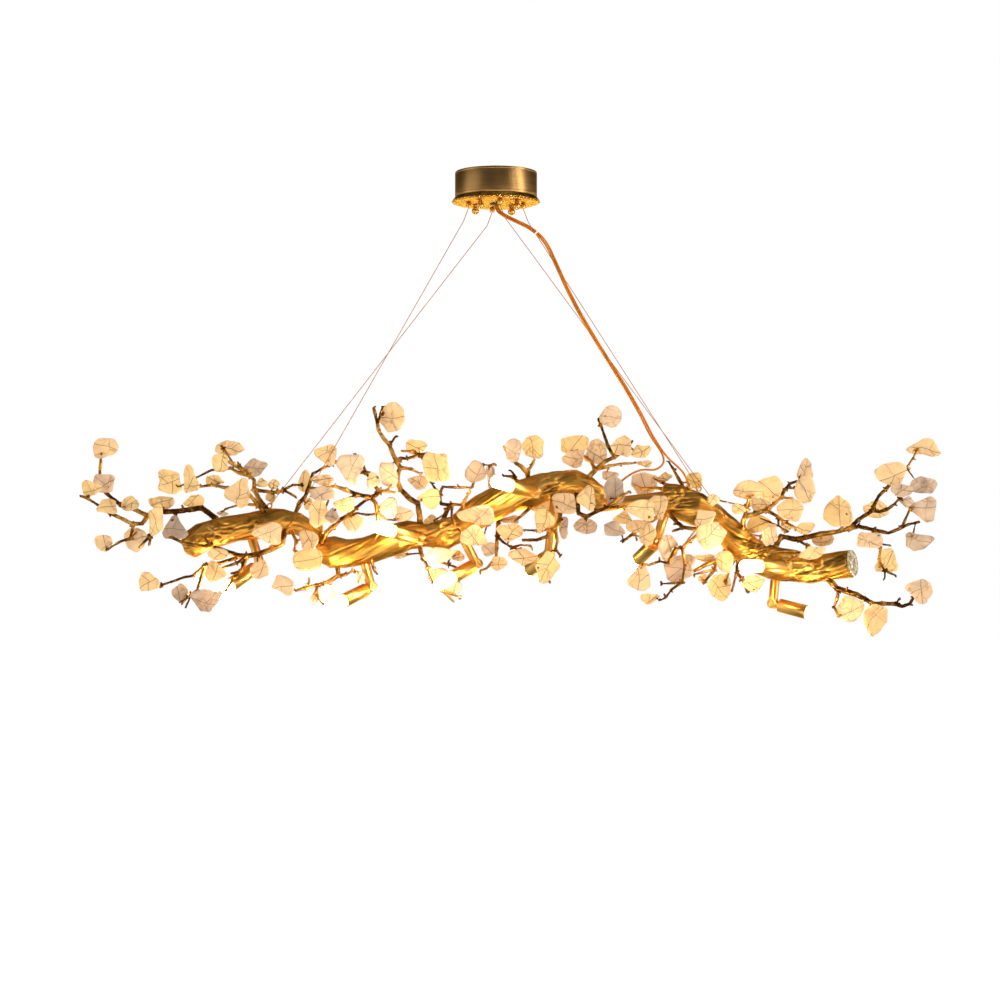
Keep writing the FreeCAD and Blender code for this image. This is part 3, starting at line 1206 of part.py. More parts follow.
def hang_leaf(group, number, x, z, width, height):
    """Find the nearest free depth for a leaf, and its stalk."""
    samples = STEM_SAMPLES[group]
    nearest = min(samples, key=lambda sample: math.hypot(sample[2][0] - x, sample[2][1] - z))
    toward = (nearest[2][0] - x, nearest[2][1] - z)
    if math.hypot(toward[0], toward[1]) < LEAF_OVER_STEM:
        toward = (0, -1)
    leaf = Leaf(number, x, z, width, height, toward)
    for attempt in range(LEAF_TRIES):
        side = 1 if (attempt + number) % 2 else -1
        leaf.lay(nearest[0].y + side * LEAF_STEP * ((attempt + 1) // 2))
        radius = leaf.cover_radius + LEAF_CLEARANCE
        if not clear_of_all(leaf.cover_points, radius, leaf.middle, leaf.reach, ()):
            continue
        stalk = stalk_line(leaf, group)
        if stalk is None:
            continue
        foot, tip, outside = stalk
        for point in leaf.cover_points:
            keep_clear(point, leaf.cover_radius, "leaf")
        for point in outside:
            keep_clear(point, STALK_RADIUS + STALK_CLEARANCE, "stalk")
        way = (tip - foot).normalize()
        socket = bar([foot, tip + way * STALK_SOCKET_END], [STALK_RADIUS + STALK_GLUE] * 2, STALK_SIDES)
        LEAF_SOLIDS.setdefault(group, []).append(leaf.solid().cut(socket))
        STALK_BARS.setdefault(group, []).append(bar([foot, tip], [STALK_RADIUS] * 2, STALK_SIDES))
        return True
    print("no room for the leaf of", group, "at", (x, z))
    return False


# --- Write the sub-parts --------------------------------------------------------------------------

os.makedirs("parts", exist_ok=True)

leaf_number = 0
for group_name, leaf_rows in LEAVES.items():
    for leaf_row in leaf_rows:
        hang_leaf(group_name, leaf_number, *leaf_row)
        leaf_number += 1

for group_name, bars in STEM_BARS.items():
    stems = [bar(points, radii, TWIG_SIDES) for points, radii in bars]
    pieces = stems + STALK_BARS.get(group_name, [])
    save("twigs_" + group_name, [pieces[0].multiFuse(pieces[1:])])
    save("leaves_" + group_name, LEAF_SOLIDS.get(group_name, []))

save("mounting_plate", [mounting_plate()])
save("canopy_shell", [canopy_shell()])
save("hammered_plate", [hammered_plate()])
save("plate_studs", plate_studs())
save("ball_nuts", ball_nuts())
save("wire_grips", wire_grips())
save("led_driver", [in_canopy(DRIVER_SIZE, -GEAR_OFFSET)])
save("terminal_block", [in_canopy(TERMINAL_BLOCK_SIZE, GEAR_OFFSET)])
save("cable_bush", [cable_bush()])
for wire_number in range(len(WIRE_PLACES)):
    save("suspension_wire_%d" % (wire_number + 1), [suspension_wire(wire_number)])
save("wire_anchors", [wire_anchor(i) for i in range(len(WIRE_PLACES))])
save("wire_ferrules", [wire_ferrule(i) for i in range(len(WIRE_PLACES))])
save("supply_cable_1", [supply_cable("supply_cable_1", CABLE_1), cable_tie()])
save("supply_cable_2", [supply_cable("supply_cable_2", CABLE_2)])
save("cable_glands", [cable_gland(CABLE_1), cable_gland(CABLE_2)])

castings = {name: trunk_casting(name) for name in TRUNK}
tail_points, tail_radii = trunk_points("trunk_left")
tail = trunk_loft(tail_points, trunk_ways("trunk_left"), tail_radii)
castings["trunk_middle_left"] = castings["trunk_middle_left"].cut(tail)
middle_hole = rod(MIDDLE_SPIGOT[0], MIDDLE_SPIGOT[1], MIDDLE_SPIGOT_RADIUS + SPIGOT_GAP)
barrel_hole = rod(BARREL[0], BARREL[1], BARREL_RADIUS + SPIGOT_GAP)
sockets = [rod(*rod_socket(number, SPIGOT_GAP)) for number in range(len(LAMPS))]
sockets += [gland_socket for cable in (CABLE_1, CABLE_2) for gland_socket in gland_bars(cable, SPIGOT_GAP)]
for casting_name in castings:
    casting = castings[casting_name].cut(Part.makeCompound([middle_hole, barrel_hole]))
    save(casting_name, [casting.cut(Part.makeCompound(sockets))])
save("trunk_spigots", [tube(MIDDLE_SPIGOT[0], MIDDLE_SPIGOT[1], MIDDLE_SPIGOT_RADIUS, SPIGOT_WALL),
                       tube(BARREL[0], BARREL[1], BARREL_RADIUS, SPIGOT_WALL)])
save("trunk_end_cap", [end_cap("trunk_right")])

save("lamp_rods", [lamp_rod(number) for number in range(len(LAMPS))])
save("pivot_screws", [pivot_screw(number) for number in range(len(LAMPS))])
for lamp_number in range(len(LAMPS)):
    save("lamp_%d_head" % (lamp_number + 1), [lamp_head(lamp_number)])
    save("lamp_%d_bulb" % (lamp_number + 1), lamp_bulb(lamp_number))
    lamp_root, lamp_pivot, lamp_rod_way, lamp_head_way, lamp_axis = lamp_frame(lamp_number)
    print("lamp", lamp_number + 1, "pivot", [round(value, 3) for value in lamp_pivot],
          "axis", [round(value, 6) for value in lamp_axis], "range", tilt_range(lamp_number))
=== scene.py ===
import json
import math
import random

import bmesh
import bpy
from mathutils import Matrix, Vector, noise


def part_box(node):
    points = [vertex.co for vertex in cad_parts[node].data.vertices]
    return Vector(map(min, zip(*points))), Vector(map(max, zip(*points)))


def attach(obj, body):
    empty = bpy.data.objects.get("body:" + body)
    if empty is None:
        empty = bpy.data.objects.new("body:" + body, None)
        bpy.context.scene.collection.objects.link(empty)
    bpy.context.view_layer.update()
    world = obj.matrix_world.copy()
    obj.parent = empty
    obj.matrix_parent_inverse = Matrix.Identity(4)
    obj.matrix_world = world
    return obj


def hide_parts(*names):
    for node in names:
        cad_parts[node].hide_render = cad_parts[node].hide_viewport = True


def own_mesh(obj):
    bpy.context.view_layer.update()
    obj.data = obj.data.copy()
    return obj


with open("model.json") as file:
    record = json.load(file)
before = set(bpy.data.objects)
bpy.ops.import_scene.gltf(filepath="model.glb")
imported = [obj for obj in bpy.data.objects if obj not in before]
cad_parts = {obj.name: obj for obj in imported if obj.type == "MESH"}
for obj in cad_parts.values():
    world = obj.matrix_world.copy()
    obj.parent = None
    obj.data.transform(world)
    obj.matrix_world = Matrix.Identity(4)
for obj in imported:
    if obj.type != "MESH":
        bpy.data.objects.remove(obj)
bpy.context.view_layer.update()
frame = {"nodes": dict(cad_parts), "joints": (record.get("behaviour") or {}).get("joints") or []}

# Branch chandelier, in metres. The origin is on the ceiling in the middle of the canopy, +Z is up, +X runs to
# the viewer's right along the branch and +Y away from the viewer.

MM = 0.001
UP = Vector((0, 0, 1))
MERGE = 0.01 * MM
GROUPS = ("left_tip", "left_low", "left_front", "middle_left", "middle_right", "right_low", "right_crown",
          "right_tip")
LAMP_COUNT = 9

# Camera
EYE = Vector((0, -3.6, -0.62))
LENS = 81.0
SENSOR = 36.0
SHIFT_X = 0.004
SHIFT_Y = 0.06

# The colour that gold takes at a glancing angle
GOLD_EDGE = (1.0, 0.74, 0.36, 1)

# What polished metal mirrors: tones from straight down (0) over the horizon (0.5) to straight up (1), their
# warmth, and the fineness, edges and strengths of the patches that break them up
MIRRORED_TONES = ((0.0, 0.26), (0.25, 0.45), (0.42, 0.85), (0.50, 0.72), (0.56, 0.16), (0.75, 0.06),
                  (1.0, 0.2))
MIRRORED_WARMTH = (1.0, 0.93, 0.84)
PATCH_FINENESS = 2.6
PATCH_EDGES = (0.38, 0.62)
PATCH_STRENGTHS = (0.3, 1.5)

# The even light from all round
SOFT_COLOUR = (1.0, 0.97, 0.93, 1)
SOFT_STRENGTH = 0.95

# Floor
FLOOR_HEIGHT = -1.9
FLOOR_SIZE = 60.0

# Supply cables: the points of their routes, in millimetres
CABLE_ROUTES = {
    "supply_cable_1": [
        (1.7, 0, -45), (1.7, 0, -57), (11, -0.5, -66), (34.5, -1, -77.5), (59, -1.5, -89), (82, -2, -111),
        (99.6, -2.5, -151), (122.6, -3, -202), (151.6, -3.5, -253), (180.5, -4, -300), (207.6, -4, -342),
        (230.6, -4, -382), (251.6, -3.5, -424), (271.6, -1.5, -454), (291, -1, -471), (303, -2, -484),
        (308, -3, -499),
    ],
    "supply_cable_2": [
        (-1.7, 0, -45), (-1.7, 0, -59), (10.2, -0.5, -69.1), (33.2, -1, -80.3), (57.2, -1.5, -91.6),
        (79.2, -2, -113.2), (96.9, -2.5, -152.8), (119.9, -3, -203.8), (148.9, -3.5, -254.8),
        (178.1, -4, -301.8), (204.9, -4, -343.8), (227.8, -4, -383.8), (248.6, -4.5, -426),
        (264, -6.5, -446), (270, -9, -465),
        (255, -8, -477), (236, -5, -475), (220, -1, -480), (206, 1, -489), (194, 2, -500), (186, 3, -507),
    ],
}
CABLE_STRANDS = 3
CABLE_TWIST = 0.16
CABLE_GROOVE = 0.92
CABLE_LOBE = 0.7
CABLE_REACH = 1.66 * MM
CABLE_SIDES = 24
CABLE_RUN_STEPS = 10

# The clear tie: the run of the routes that it sits on, its place along that run, and its section as
# (radius, height) in millimetres
TIE_RUN = 4
TIE_PLACE = 0.3
TIE_SECTION = ((3.6, -1.2), (4.2, -1.4), (4.6, -1.0), (4.6, 1.0), (4.2, 1.4), (3.6, 1.2), (3.6, -1.2))

# Suspension wires
WIRE_RADIUS = 0.6 * MM
WIRE_SIDES = 8
WIRE_CORNERS = 12
WIRE_GROOVE = 0.9
WIRE_TURN = 12 * MM
WIRE_STEP = 1.5 * MM


# --- Finishes -------------------------------------------------------------------------------------

# The ends of the ranges that a range node takes and gives, and how finely bent cell edges wave
RANGE_SOCKETS = ("From Min", "From Max", "To Min", "To Max")
CELL_WAVES = 1.5


class Finish:
    """A material with one main shader, and short words for the nodes that shade it."""

    def __init__(self, name, **constants):
        self.material = bpy.data.materials.new(name)
        self.material.use_nodes = True
        self.nodes = self.material.node_tree.nodes
        self.shader = self.nodes["Principled BSDF"]
        for socket, value in constants.items():
            self.shader.inputs[socket.replace("_", " ")].default_value = value
        self.place = self.nodes.new("ShaderNodeTexCoord").outputs["Object"]

    def link(self, source, target):
        self.material.node_tree.links.new(source, target)

    def drive(self, socket, source):
        self.link(source, self.shader.inputs[socket])

    def noise(self, scale, detail=3.0, stretch=(1, 1, 1), distortion=0.0):
        mapping = self.nodes.new("ShaderNodeMapping")
        mapping.inputs["Scale"].default_value = stretch
        self.link(self.place, mapping.inputs["Vector"])
        cloud = self.nodes.new("ShaderNodeTexNoise")
        cloud.inputs["Scale"].default_value = scale
        cloud.inputs["Detail"].default_value = detail
        cloud.inputs["Distortion"].default_value = distortion
        self.link(mapping.outputs["Vector"], cloud.inputs["Vector"])
        return cloud.outputs["Fac"]

    def cells(self, scale, feature="F1", bend=0.0):
        """The distance to the centres or edges of crystal cells, with their edges bent."""
        cells = self.nodes.new("ShaderNodeTexVoronoi")
        cells.feature = feature
        cells.inputs["Scale"].default_value = scale
        bent = self.nodes.new("ShaderNodeVectorMath")
        bent.operation = "MULTIPLY_ADD"
        cloud = self.nodes.new("ShaderNodeTexNoise")
        cloud.inputs["Scale"].default_value = scale * CELL_WAVES
        self.link(self.place, cloud.inputs["Vector"])
        self.link(cloud.outputs["Color"], bent.inputs[0])
        bent.inputs[1].default_value = (bend, bend, bend)
        self.link(self.place, bent.inputs[2])
        self.link(bent.outputs["Vector"], cells.inputs["Vector"])
        return cells.outputs["Distance"]

    def layer(self, name):
        """The values that a piece's corners carry under a name."""
        layer = self.nodes.new("ShaderNodeAttribute")
        layer.attribute_name = name
        return layer.outputs["Fac"]

    def ramp(self, source, *stops):
        ramp = self.nodes.new("ShaderNodeValToRGB")
        elements = ramp.color_ramp.elements
        while len(elements) < len(stops):
            elements.new(0.5)
        for element, (place, colour) in zip(elements, stops):
            element.position = place
            element.color = colour if len(colour) == 4 else (*colour, 1)
        self.link(source, ramp.inputs["Fac"])
        return ramp.outputs["Color"]

    def scaled(self, source, low, high, from_low=0.0, from_high=1.0):
        scale = self.nodes.new("ShaderNodeMapRange")
        for socket, value in zip(RANGE_SOCKETS, (from_low, from_high, low, high)):
            scale.inputs[socket].default_value = value
        self.link(source, scale.inputs["Value"])
        return scale.outputs["Result"]

    def blend(self, share, first, second, mode="MIX"):
        mix = self.nodes.new("ShaderNodeMix")
        mix.data_type = "RGBA"
        mix.blend_type = mode
        for socket, value in ((mix.inputs[0], share), (mix.inputs[6], first), (mix.inputs[7], second)):
            if isinstance(value, bpy.types.NodeSocket):
                self.link(value, socket)
            else:
                socket.default_value = value
        return mix.outputs[2]

    def bump(self, source, strength, depth):
        bump = self.nodes.new("ShaderNodeBump")
        bump.inputs["Strength"].default_value = strength
        bump.inputs["Distance"].default_value = depth
        self.link(source, bump.inputs["Height"])
        if self.shader.inputs["Normal"].is_linked:
            self.link(self.shader.inputs["Normal"].links[0].from_socket, bump.inputs["Normal"])
        self.drive("Normal", bump.outputs["Normal"])


def brushed_bronze():
    finish = Finish("brushed_bronze", Metallic=1.0, Specular_Tint=(0.8, 0.62, 0.38, 1))
    lines = finish.noise(55, 4, (0.35, 0.35, 26))
    finish.drive("Base Color", finish.ramp(lines, (0.3, (0.46, 0.25, 0.08)), (0.7, (0.60, 0.36, 0.14))))
    finish.drive("Roughness", finish.scaled(lines, 0.26, 0.40))
    finish.bump(lines, 0.12, 0.1 * MM)
    return finish.material


def hammered_gold():
    finish = Finish("hammered_gold", Metallic=1.0, Specular_Tint=GOLD_EDGE)
    tint = finish.noise(90, 3)
    relief = finish.layer("relief")
    worn = finish.ramp(relief, (0.24, (0.22, 0.08, 0.01)), (0.46, (1.0, 0.56, 0.12)))
    finish.drive("Base Color", finish.blend(0.3, worn, finish.ramp(tint, (0.35, (0.6, 0.3, 0.06)),
                                                                  (0.65, (1.0, 0.66, 0.25)))))
    finish.drive("Roughness", finish.scaled(tint, 0.12, 0.26))
    finish.bump(finish.noise(420, 2), 0.5, 0.8 * MM)
    return finish.material


def polished_gold():
    finish = Finish("polished_gold", Metallic=1.0, Specular_Tint=GOLD_EDGE)
    tint = finish.noise(28, 3)
    lines = finish.noise(240, 3, (1, 1, 0.2))
    finish.drive("Base Color", finish.ramp(tint, (0.3, (0.94, 0.52, 0.12)), (0.7, (1.0, 0.62, 0.20))))
    finish.drive("Roughness", finish.scaled(lines, 0.28, 0.36))
    return finish.material


def cast_gold():
    finish = Finish("cast_gold", Metallic=1.0, Specular_Tint=GOLD_EDGE)
    relief = finish.layer("relief")
    grain = finish.noise(160, 5, (0.3, 1, 1), 0.8)
    skin = finish.ramp(relief, (0.16, (0.12, 0.045, 0.008)), (0.38, (0.72, 0.32, 0.042)),
                       (0.6, (1.0, 0.49, 0.08)), (0.9, (1.0, 0.61, 0.17)))
    worn = finish.ramp(grain, (0.35, (0.50, 0.24, 0.04)), (0.6, (1.0, 0.62, 0.15)))
    finish.drive("Base Color", finish.blend(0.32, skin, worn))
    finish.drive("Roughness", finish.scaled(grain, 0.30, 0.46))
    finish.bump(grain, 0.55, 0.5 * MM)
    finish.bump(finish.noise(700, 3), 0.18, 0.1 * MM)
    return finish.material


def twig_bronze():
    finish = Finish("twig_bronze", Metallic=1.0, Specular_Tint=GOLD_EDGE)
    relief = finish.layer("relief")
    grain = finish.noise(500, 4, distortion=0.6)
    patches = finish.noise(16, 3)
    # Painted shade and painted light: a dark and a bright copy of the same bark colour, mixed in random
    # patches, stand in for twigs left in shade and twigs lit gold.
    dark = finish.ramp(relief, (0.25, (0.016, 0.007, 0.002)), (0.6, (0.15, 0.058, 0.009)),
                       (0.85, (0.54, 0.25, 0.045)))
    bright = finish.ramp(relief, (0.25, (0.16, 0.065, 0.010)), (0.6, (0.80, 0.40, 0.07)),
                         (0.85, (1.0, 0.60, 0.16)))
    finish.drive("Base Color", finish.blend(finish.scaled(patches, 0, 1, 0.47, 0.60), dark, bright))
    finish.drive("Roughness", finish.scaled(grain, 0.26, 0.44))
    finish.bump(grain, 0.4, 0.2 * MM)
    return finish.material


def sawn_silver():
    finish = Finish("sawn_silver", Metallic=0.5)
    relief = finish.layer("relief")
    grain = finish.noise(260, 4)
    finish.drive("Base Color", finish.ramp(relief, (0.2, (0.34, 0.25, 0.12)), (0.6, (0.80, 0.70, 0.47)),
                                           (0.9, (0.92, 0.88, 0.72))))
    finish.drive("Roughness", finish.scaled(grain, 0.18, 0.38))
    finish.bump(grain, 0.3, 0.2 * MM)
    return finish.material


def leaf_crystal():
    finish = Finish("leaf_crystal", IOR=1.5, Coat_Weight=0.3, Coat_Roughness=0.12)
    tone = finish.layer("tone")
    cloud = finish.noise(70, 4, distortion=0.8)
    base = finish.ramp(tone, (0.0, (0.62, 0.50, 0.40)), (0.3, (0.88, 0.72, 0.55)),
                       (0.6, (0.98, 0.79, 0.50)), (1.0, (1.0, 0.81, 0.42)))
    milky = finish.ramp(cloud, (0.32, (0.80, 0.72, 0.62)), (0.62, (1.0, 0.99, 0.96)))
    lines = finish.cells(27, "DISTANCE_TO_EDGE", 0.03)
    cracks = finish.ramp(lines, (0.0, (0.52, 0.38, 0.27)), (0.035, (1, 1, 1)))
    colour = finish.blend(0.7, base, milky, "MULTIPLY")
    colour = finish.blend(0.6, colour, cracks, "MULTIPLY")
    finish.drive("Base Color", colour)
    finish.drive("Roughness", finish.scaled(cloud, 0.28, 0.5))
    finish.bump(cloud, 0.4, 0.8 * MM)
    finish.bump(finish.noise(260, 3), 0.2, 0.3 * MM)
    through = finish.nodes.new("ShaderNodeBsdfTranslucent")
    finish.link(colour, through.inputs["Color"])
    shares = finish.nodes.new("ShaderNodeMixShader")
    shares.inputs["Fac"].default_value = 0.46
    out = finish.nodes["Material Output"].inputs["Surface"]
    finish.link(finish.shader.outputs["BSDF"], shares.inputs[1])
    finish.link(through.outputs["BSDF"], shares.inputs[2])
    finish.link(shares.outputs["Shader"], out)
    return finish.material


def vein_brown():
    finish = Finish("vein_brown", Roughness=0.45)
    finish.drive("Base Color", finish.ramp(finish.noise(120, 2), (0.3, (0.20, 0.10, 0.045)),
                                           (0.7, (0.40, 0.24, 0.13))))
    return finish.material


def lit_glass():
    finish = Finish("lit_glass", Roughness=0.25, Emission_Strength=100.0)
    finish.drive("Base Color", finish.ramp(finish.noise(60, 2), (0.3, (0.95, 0.92, 0.85)), (0.7, (1, 1, 1))))
    bright = finish.ramp(finish.noise(40, 1), (0.3, (1.0, 0.70, 0.33)), (0.7, (1.0, 0.76, 0.40)))
    dim = (0.026, 0.022, 0.014, 1)
    finish.drive("Emission Color", finish.blend(finish.layer("glow"), dim, bright))
    return finish.material


def ceramic_white():
    finish = Finish("ceramic_white")
    speckle = finish.noise(300, 3)
    finish.drive("Base Color", finish.ramp(speckle, (0.3, (0.80, 0.78, 0.74)), (0.7, (0.92, 0.91, 0.88))))
    finish.drive("Roughness", finish.scaled(speckle, 0.3, 0.5))
    finish.bump(speckle, 0.1, 0.1 * MM)
    return finish.material


def wire_steel():
    finish = Finish("wire_steel", Specular_IOR_Level=0.2)
    lay = finish.noise(900, 2, (1, 1, 0.5))
    finish.drive("Base Color", finish.ramp(lay, (0.3, (0.32, 0.09, 0.004)), (0.7, (0.50, 0.16, 0.012))))
    finish.drive("Roughness", finish.scaled(lay, 0.6, 0.75))
    return finish.material


def amber_cord():
    finish = Finish("amber_cord", IOR=1.25, Subsurface_Weight=0.35, Subsurface_Scale=1.5 * MM)
    finish.shader.inputs["Subsurface Radius"].default_value = (1.0, 0.35, 0.08)
    relief = finish.layer("relief")
    cloud = finish.noise(45, 3, (1, 1, 0.4))
    core = finish.ramp(relief, (0.1, (0.24, 0.06, 0.002)), (0.8, (0.70, 0.22, 0.008)))
    tint = finish.ramp(cloud, (0.35, (0.40, 0.10, 0.002)), (0.65, (0.80, 0.28, 0.008)))
    finish.drive("Base Color", finish.blend(0.4, core, tint))
    finish.drive("Roughness", finish.scaled(cloud, 0.32, 0.46))
    return finish.material


def clear_tie():
    finish = Finish("clear_tie", IOR=1.45)
    cloud = finish.noise(300, 2)
    finish.drive("Base Color", finish.ramp(cloud, (0.3, (0.86, 0.80, 0.70)), (0.7, (0.96, 0.93, 0.88))))
    finish.drive("Roughness", finish.scaled(cloud, 0.2, 0.35))
    return finish.material


def zinc_steel():
    finish = Finish("zinc_steel", Metallic=1.0)
    spangle = finish.cells(140)
    finish.drive("Base Color", finish.ramp(spangle, (0.1, (0.50, 0.51, 0.52)), (0.8, (0.72, 0.72, 0.70))))
    finish.drive("Roughness", finish.scaled(finish.noise(80, 4), 0.28, 0.45))
    finish.bump(finish.noise(500, 2), 0.08, 0.05 * MM)
    return finish.material


def black_rubber():
    finish = Finish("black_rubber")
    dust = finish.noise(220, 4)
    finish.drive("Base Color", finish.ramp(dust, (0.3, (0.020, 0.019, 0.018)), (0.7, (0.055, 0.052, 0.048))))
    finish.drive("Roughness", finish.scaled(dust, 0.55, 0.75))
    finish.bump(dust, 0.2, 0.1 * MM)
    return finish.material


FINISHES = {maker.__name__: maker() for maker in (
    brushed_bronze, hammered_gold, polished_gold, cast_gold, twig_bronze, sawn_silver, leaf_crystal,
    vein_brown, lit_glass, ceramic_white, wire_steel, amber_cord, clear_tie, zinc_steel, black_rubber)}


# --- Making pieces --------------------------------------------------------------------------------

HARD_EDGE = math.radians(38)


def clamped(value):
    """A value held between 0 and 1."""
    return min(1, max(0, value))


def piece_of(shape, name, body, finishes, nodes=(), sharp=None):
    """A piece made of a finished shape. It rides on its body and stands for its CAD nodes."""
    mesh = bpy.data.meshes.new(name)
    shape.to_mesh(mesh)
    shape.free()
    for finish in finishes:
        mesh.materials.append(FINISHES[finish])
    mesh.shade_smooth()
    if sharp:
        mesh.set_sharp_from_angle(angle=math.radians(sharp))
    piece = bpy.data.objects.new(name, mesh)
    bpy.context.scene.collection.objects.link(piece)
    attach(piece, body)
    if nodes:
        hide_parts(*nodes)
    return piece


def merged_copy(node):
    """The node's solids as one shape whose triangles share their corners."""
    shape = bmesh.new()
    shape.from_mesh(frame["nodes"][node].data)
    bmesh.ops.remove_doubles(shape, verts=shape.verts, dist=MERGE)
    return shape


def evaluated(thing):
    """The shape of an object with its modifiers; the object is used up."""
    view = thing.evaluated_get(bpy.context.evaluated_depsgraph_get())
    shape = bmesh.new()
    shape.from_mesh(view.to_mesh())
    view.to_mesh_clear()
    bpy.data.objects.remove(thing)
    return shape


def remeshed(shape, voxel):
    """The outer skin of a shape as even small faces."""
    mesh = bpy.data.meshes.new("blank")
    shape.to_mesh(mesh)
    shape.free()
    blank = bpy.data.objects.new("blank", mesh)
    bpy.context.scene.collection.objects.link(blank)
    remesh = blank.modifiers.new("skin", "REMESH")
    remesh.mode = "VOXEL"
    remesh.voxel_size = voxel
    return evaluated(blank)


def smooth(shape, times, factor=0.5):
    """Even a skin out by moving each corner towards its neighbours."""
    for _ in range(times):
        bmesh.ops.smooth_vert(shape, verts=shape.verts, factor=factor, use_axis_x=True, use_axis_y=True,
                              use_axis_z=True)
    shape.normal_update()


def raise_skin(shape, height_of, reach, level, gain):
    """Raise a skin by the height that a rule gives at each point, and keep the heights as its relief."""
    relief = shape.verts.layers.float.new("relief")
    moves = []
    for vert in shape.verts:
        height = height_of(vert.co)
        vert[relief] = clamped(level + gain * height)
        moves.append(vert.normal * height * reach)
    for vert, move in zip(shape.verts, moves):
        vert.co += move


def ridges(place, roughness, spacing, layers):
    """Sharp ridges with finer ones between them, as a height at a place."""
    return noise.ridged_multi_fractal(place, roughness, spacing, layers, 1.0, 2.0)


def keep_in_box(shape, node):
    """Hold a shape inside the box of its CAD node."""
    low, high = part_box(node)
    for vert in shape.verts:
        vert.co = [min(max(value, least), most) for value, least, most in zip(vert.co, low, high)]


def refined(node, body, finish, rounding):
    """The CAD node's own form with its hard edges rounded."""
    piece = piece_of(merged_copy(node), node + "_finished", body, [finish], [node])
    bevel = piece.modifiers.new("edges", "BEVEL")
    bevel.width = rounding
    bevel.segments = 2
    bevel.limit_method = "ANGLE"
    bevel.angle_limit = HARD_EDGE
    bevel.harden_normals = True


def frame_at(place, way, side=None):
    """The matrix that stands a shape made round +Z at a place, with +Z turned along a way."""
    way = way.normalized()
    nearly_upright = abs(way.z) >= 0.9
    side = side or (Vector((1, 0, 0)) if nearly_upright else UP)
    across = side.cross(way).normalized()
    turn = Matrix((across, way.cross(across), way)).transposed().to_4x4()
    return Matrix.Translation(place) @ turn


def turned(profile, segments=48, matrix=Matrix.Identity(4)):
    """A shape turned round +Z from a profile of (radius, height) in millimetres."""
    shape = bmesh.new()
    verts = [shape.verts.new((radius * MM, 0, height * MM)) for radius, height in profile]
    for before, after in zip(verts, verts[1:]):
        shape.edges.new((before, after))
    bmesh.ops.spin(shape, geom=shape.verts[:] + shape.edges[:], cent=(0, 0, 0), axis=(0, 0, 1),
                   angle=2 * math.pi, steps=segments, use_merge=True, use_duplicate=False)
    bmesh.ops.remove_doubles(shape, verts=shape.verts, dist=MERGE)
    bmesh.ops.recalc_face_normals(shape, faces=shape.faces)
    shape.transform(matrix)
    return shape


def joined(shapes):
    """One shape that holds all the given ones."""
    whole = bmesh.new()
    for shape in shapes:
        mesh = bpy.data.meshes.new("part")
        shape.to_mesh(mesh)
        shape.free()
        whole.from_mesh(mesh)
        bpy.data.meshes.remove(mesh)
    return whole


def islands(node):
    """The solids of a node, each as a list of its corner points."""
    shape = merged_copy(node)
    shape.verts.index_update()
    seen = [False] * len(shape.verts)
    found = []
    for start in shape.verts:
        if seen[start.index]:
            continue
        seen[start.index] = True
        island, front = [start.co.copy()], [start]
        while front:
            vert = front.pop()
            for edge in vert.link_edges:
                other = edge.other_vert(vert)
                if not seen[other.index]:
                    seen[other.index] = True
                    island.append(other.co.copy())
                    front.append(other)
        found.append(island)
    shape.free()
    return found


def middle(points):
    return sum(points, Vector()) / len(points)


# --- Camera, floor and light ----------------------------------------------------------------------


def make_camera():
    data = bpy.data.cameras.new("camera")
    data.lens = LENS
    data.sensor_width = SENSOR
    data.shift_x = SHIFT_X
    data.shift_y = SHIFT_Y
    camera = bpy.data.objects.new("camera", data)
    camera.location = EYE
    camera.rotation_euler = (math.radians(90), 0, 0)
    bpy.context.scene.collection.objects.link(camera)
    bpy.context.scene.camera = camera


def make_floor():
    """A wide pale floor that glows a little, so that it meets the white surround without an edge."""
    shape = bmesh.new()
    bmesh.ops.create_grid(shape, x_segments=1, y_segments=1, size=FLOOR_SIZE / 2,
                          matrix=Matrix.Translation((0, 0, FLOOR_HEIGHT)))
    mesh = bpy.data.meshes.new("floor")
    shape.to_mesh(mesh)
    shape.free()
    pale = Finish("pale_floor", Roughness=0.9, Emission_Strength=0.4)
    pale.shader.inputs["Base Color"].default_value = (0.9, 0.9, 0.9, 1)
    pale.shader.inputs["Emission Color"].default_value = (1, 1, 1, 1)
    mesh.materials.append(pale.material)
    floor = bpy.data.objects.new("floor", mesh)
    floor.visible_glossy = False
    floor.visible_diffuse = False
    bpy.context.scene.collection.objects.link(floor)


def softbox(name, place, aim, width, height, power, colour):
    data = bpy.data.lights.new(name, "AREA")
    data.shape = "RECTANGLE"
    data.size = width
    data.size_y = height
    data.energy = power
    data.color = colour
    light = bpy.data.objects.new(name, data)
    light.location = place
    light.visible_camera = False
    light.rotation_euler = (Vector(aim) - Vector(place)).to_track_quat("-Z", "Y").to_euler()
    bpy.context.scene.collection.objects.link(light)


